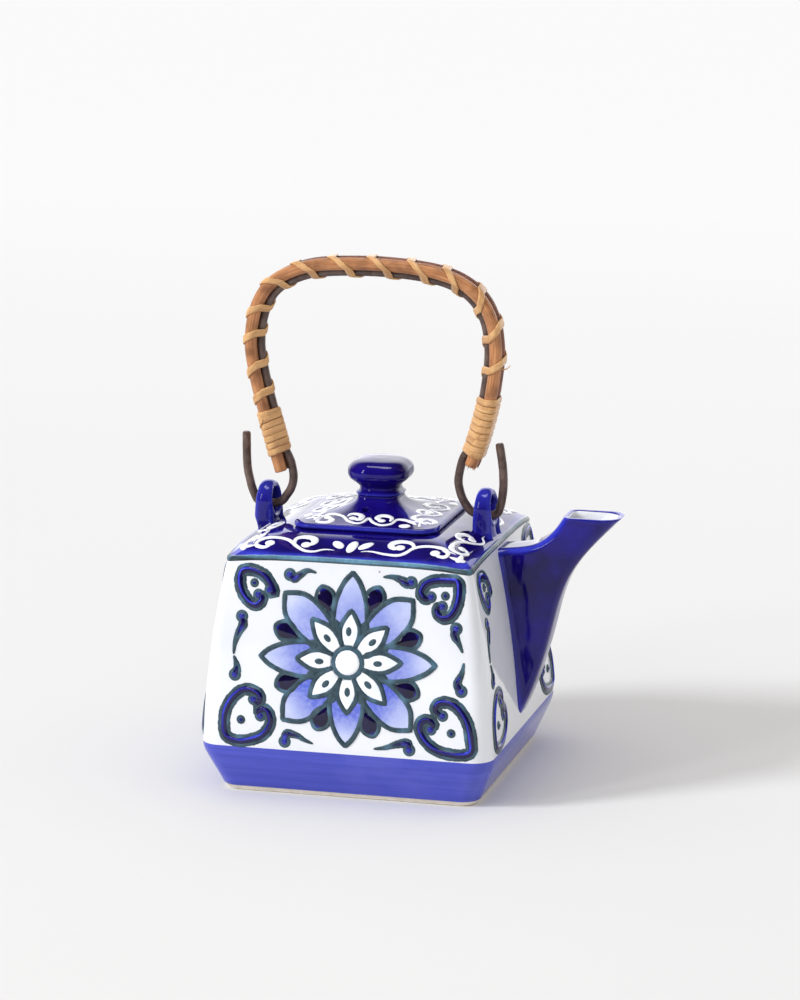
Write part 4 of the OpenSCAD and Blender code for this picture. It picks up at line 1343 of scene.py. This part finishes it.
def make_canes():
    """Two peeled canes side by side, each with its slight nodes and cut ends; the back cane gets a darker
    copy of the front cane's finish as painted shade.
    """
    rng = random.Random(5)
    # the back cane wears the darker copy of the finish, as painted shade
    for name, side, finish, slot in (("front", -1, cane_light, "cane_light"),
                                     ("back", 1, cane_dark, "cane_dark")):
        knots = [rng.uniform(0.1, 0.9) for _ in range(3)]
        ridge = [rng.uniform(0.5, 1.0) for _ in range(9)]

        def radius(share, a, knots=knots, ridge=ridge):
            r = CANE_D / 2 - 0.05
            r -= 0.05 * ridge[int(a / (2 * math.pi) * 9) % 9] * (0.5 + 0.5 * math.sin(a * 9))
            r += 0.08 * sum(math.exp(-((share - k) * 90) ** 2) for k in knots)
            end = min(share, 1 - share) * BOW_LEN
            return r - 0.25 * max(0.0, 1 - end / 0.4)

        path = [bow_at(s) for s in [0, 0.2, 0.5] + [1.5 * k for k in range(1, int(BOW_LEN / 1.5))]
                + [BOW_LEN - 0.5, BOW_LEN - 0.2, BOW_LEN]]
        bm = bmesh.new()
        grain = bm.verts.layers.float_vector.new("grain")
        rod(bm, path, radius, 28, grain, y=side * CANE_Y)
        for k in range(16):
            # torn fibres left by the saw at the right-hand end
            a, r = 2 * math.pi * k / 16 + rng.uniform(-0.1, 0.1), CANE_D * rng.uniform(0.26, 0.44)
            d, p = bow_dir(BOW_LEN), bow_at(BOW_LEN)
            across = Vector((-d.y, d.x)) * r * math.cos(a)
            long = rng.uniform(0.5, 1.5)
            tip = p + across * rng.uniform(1.0, 1.25) + d * long
            rod(bm, [p + across - d * 0.6, p + across + d * long * 0.5, tip],
                lambda s, _: 0.26 * (1 - 0.8 * s), 6, grain,
                y=side * CANE_Y + r * math.sin(a) * (1 if side < 0 else 0.8))
        stick = piece(bm, "peeled_cane_" + name, "handle", slot, [finish])
        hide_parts("cane_" + name)


WANDER_STEP = 12        # steps of winding between changes in the strip's width
STEP_LENGTH = 1.25      # strip laid down in one step of the winding


def strip(bm, grain, turns, gap=0.08, width=STRIP_W, thickness=STRIP_T, step=10, seed=1):
    """Split cane wound round the bundle. turns is a list of (angle in degrees, distance along the bow)."""
    rng = random.Random(seed)
    first, last = turns[0][0], turns[-1][0]
    count = int((last - first) / step)
    half = width / 2
    section = [(-half, 0), (half, 0), (half, 0.55), (half * 0.72, 0.95), (half * 0.25, 1), (-half * 0.25, 1),
               (-half * 0.72, 0.95), (-half, 0.55)]
    ring = bmesh.ops.create_circle(bm, cap_ends=True, radius=1, segments=len(section))["verts"]
    knot, length = 0, 0.0
    wander = [rng.uniform(-1, 1) for _ in range(count // WANDER_STEP + 3)]
    for i in range(count + 1):
        angle = first + step * i
        while knot < len(turns) - 2 and turns[knot + 1][0] < angle:
            knot += 1
        (a0, s0), (a1, s1) = turns[knot], turns[knot + 1]
        s = mix(s0, s1, (angle - a0) / (a1 - a0))
        if i:
            ring = next_ring(bm, ring)
            length += STEP_LENGTH
        j, f = divmod(i / WANDER_STEP, 1)
        wide = 1 + 0.05 * mix(wander[int(j)], wander[int(j) + 1], f)
        for v, (side, high) in zip(ring, section):
            a = math.radians(-angle)
            p = around(a, gap + thickness * high)
            v.co = in_bundle(p, s + side * wide)
            v[grain] = (side * 1.0, high * 0.3 + seed, length)
    bmesh.ops.contextual_create(bm, geom=ring)


# where each open turn crosses the outside and then the inside of the bow, on the front
TURNS_OUT = [28.2, 38.3, 51.0, 60.9, 73.6, 87.0, 101.1, 116.2, 131.0, 144.5, 158.6, 172.1, 185.4]
TURNS_IN = [32.0, 43.2, 55.9, 67.0, 81.6, 95.4, 110.6, 125.4, 139.7, 152.9, 166.0, 178.6, 190.7]


# loose fibre on the binding: distance out from the cane, distance back along the bow
WHISKER = [(0.0, 0.0), (0.9, -0.2), (1.9, 0.2), (2.8, 1.0), (3.3, 1.9)]


def make_binding():
    turns = [(-30, LEFT_TAIL + LEFT_WHIP + 0.6 + STRIP_W / 2)]
    for k, (out, inner) in enumerate(zip(TURNS_OUT, TURNS_IN)):
        turns += [(90 + 360 * k, out), (270 + 360 * k, inner)]
    turns.append((turns[-1][0] + 130, BOW_LEN - RIGHT_TAIL - RIGHT_WHIP - 0.6 - STRIP_W / 2))
    bm = bmesh.new()
    grain = bm.verts.layers.float_vector.new("grain")
    strip(bm, grain, turns, seed=3, width=STRIP_W * 1.2)
    s = BOW_LEN - RIGHT_TAIL - RIGHT_WHIP - 11.0
    d, p = bow_dir(s), bow_at(s)
    out = Vector((-d.y, d.x)) if Vector((-d.y, d.x)).x > 0 else Vector((d.y, -d.x))
    whisker = [p + out * (CANE_D / 2 + a) - d * b for a, b in WHISKER]
    rod(bm, smooth_path(whisker, 4), lambda share, _: mix(0.3, 0.14, share), 8, grain, y=-CANE_Y)
    binding = piece(bm, "open_binding", "handle", "split_cane", [split_cane])
    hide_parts("spiral_binding")


def make_whippings():
    for name, start, length, count in (("left", LEFT_TAIL, LEFT_WHIP, 7),
                                       ("right", BOW_LEN - RIGHT_TAIL - RIGHT_WHIP, RIGHT_WHIP, 9)):
        rng = random.Random(len(name))
        pitch = (length - STRIP_W) / (count - 1)
        turns = [(0, start + STRIP_W / 2)]
        for k in range(count):
            slip = rng.uniform(-0.12, 0.12)
            turns += [(360 * k + 200, start + STRIP_W / 2 + pitch * min(k + 0.35, count - 1) + slip),
                      (360 * k + 340, start + STRIP_W / 2 + pitch * min(k + 0.95, count - 1) + slip * 0.5)]
        bm = bmesh.new()
        grain = bm.verts.layers.float_vector.new("grain")
        strip(bm, grain, turns, gap=0.1, width=pitch * 0.97, thickness=0.62, seed=len(name) + 4)
        if name == "left":
            at = start + length - 5.5
            strip(bm, grain, [(128, at), (172, at + 2.6)], gap=0.72, width=1.1, thickness=0.45, step=4,
                  seed=8)
        whipping = piece(bm, "close_whipping_" + name, "handle", "split_cane", [split_cane])
        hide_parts("whipping_" + name)


# ---- stage ----
def make_stage():
    floor_finish, tree, shader, place = new_material("pale_floor", Roughness=0.9, IOR=1.45,
                                                      Specular_IOR_Level=0.0)
    parts = tree.nodes.new("ShaderNodeSeparateXYZ")
    tree.links.new(place, parts.inputs[0])
    near = blend_colors(tree, spread(tree, noise(tree, place, 3, 2.0), 0.3, 0.7), (0.735, 0.73, 0.725, 1),
                        (0.75, 0.745, 0.74, 1))
    # painted light: the floor is coloured lighter towards the back, standing in for the fall of the light
    tone = blend_colors(tree, spread(tree, parts.outputs["Y"], -0.45, 1.4), near, (0.855, 0.855, 0.855, 1))
    tree.links.new(tone, shader.inputs["Base Color"])
    bm = bmesh.new()
    bmesh.ops.create_grid(bm, x_segments=2, y_segments=2, size=9)
    mesh = bpy.data.meshes.new("floor")
    bm.to_mesh(mesh)
    bm.free()
    mesh.materials.append(floor_finish)
    floor = bpy.data.objects.new("floor", mesh)
    bpy.context.scene.collection.objects.link(floor)


CAMERA_TURN, CAMERA_RISE, CAMERA_ROLL = 15.2, 12.8, -0.2    # degrees
CAMERA_DISTANCE, LENS, SENSOR = 1.45, 137.3, 36
AIM_HEIGHT, SHIFT_RIGHT, SHIFT_UP = 0.060, 0.0071, 0.0418


def make_camera():
    az, el, roll = math.radians(CAMERA_TURN), math.radians(CAMERA_RISE), math.radians(CAMERA_ROLL)
    back = Vector((math.sin(az) * math.cos(el), -math.cos(az) * math.cos(el), math.sin(el)))
    right = Vector((math.cos(az), math.sin(az), 0))
    up = back.cross(right)
    aim = Vector((0, 0, AIM_HEIGHT)) + right * SHIFT_RIGHT + up * SHIFT_UP
    right, up = right * math.cos(roll) + up * math.sin(roll), up * math.cos(roll) - right * math.sin(roll)
    data = bpy.data.cameras.new("camera")
    data.lens, data.sensor_width = LENS, SENSOR
    data.clip_end = 50
    camera = bpy.data.objects.new("camera", data)
    turn = Matrix((right, up, back)).transposed().to_4x4()
    camera.matrix_world = Matrix.Translation(aim + back * CAMERA_DISTANCE) @ turn
    bpy.context.scene.collection.objects.link(camera)
    bpy.context.scene.camera = camera


def area_light(name, place, aim, width, height, power):
    data = bpy.data.lights.new(name, "AREA")
    data.shape, data.size, data.size_y = "RECTANGLE", width, height
    data.energy = power
    lamp = bpy.data.objects.new(name, data)
    lamp.location = place
    lamp.rotation_euler = (Vector(aim) - Vector(place)).to_track_quat("-Z", "Y").to_euler()
    bpy.context.scene.collection.objects.link(lamp)


def make_light():
    """Even white studio light. What the glaze mirrors is set apart: pale walls low down, a dim room above."""
    world = bpy.data.worlds.new("studio")
    bpy.context.scene.world = world
    world.use_nodes = True
    tree = world.node_tree
    sky = tree.nodes["Background"]
    place = tree.nodes.new("ShaderNodeTexCoord")
    parts = tree.nodes.new("ShaderNodeSeparateXYZ")
    tree.links.new(place.outputs["Generated"], parts.inputs[0])
    away = calc(tree, "ADD", calc(tree, "MULTIPLY", parts.outputs["X"], -0.10),
                calc(tree, "MULTIPLY", parts.outputs["Y"], 1.0))
    behind = spread(tree, away, 0.25, 0.70)
    high = spread(tree, parts.outputs["Z"], 0.50, 0.70)
    walls = blend_colors(tree, behind, (0.04, 0.04, 0.055, 1), (2.2, 2.2, 2.25, 1))
    room = blend_colors(tree, high, walls, (0.10, 0.10, 0.13, 1))
    over = calc(tree, "MULTIPLY", spread(tree, parts.outputs["Z"], 0.935, 0.955),
                spread(tree, parts.outputs["Y"], 0.16, 0.06))
    room = blend_colors(tree, over, room, (7.0, 7.0, 7.2, 1))
    soft = blend_colors(tree, spread(tree, parts.outputs["Z"], -0.1, 0.9), (0.885, 0.868, 0.855, 1),
                        (0.80, 0.787, 0.782, 1))
    path = tree.nodes.new("ShaderNodeLightPath")
    tree.links.new(blend_colors(tree, path.outputs["Is Glossy Ray"], soft, room), sky.inputs["Color"])
    sky.inputs["Strength"].default_value = 1.0
    sun = bpy.data.lights.new("key", "SUN")
    sun.energy, sun.angle, sun.color = 1.95, math.radians(13), (0.965, 1.0, 1.035)
    key = bpy.data.objects.new("key", sun)
    key.rotation_euler = Vector((0.71, 0.47, -0.50)).to_track_quat("-Z", "Y").to_euler()
    key.visible_glossy = False
    bpy.context.scene.collection.objects.link(key)
    area_light("left_window", (-0.55, -0.80, 0.50), (0, 0, 0.08), 0.10, 0.55, 1.6)


make_pot()
make_spout()
make_lug("left")
make_lug("right")
make_lid()
make_knob()
paint_walls()
paint_roof()
paint_lid()
make_wire()
make_canes()
make_binding()
make_whippings()
make_stage()
make_camera()
make_light()
bpy.context.scene.view_settings.view_transform = "Standard"
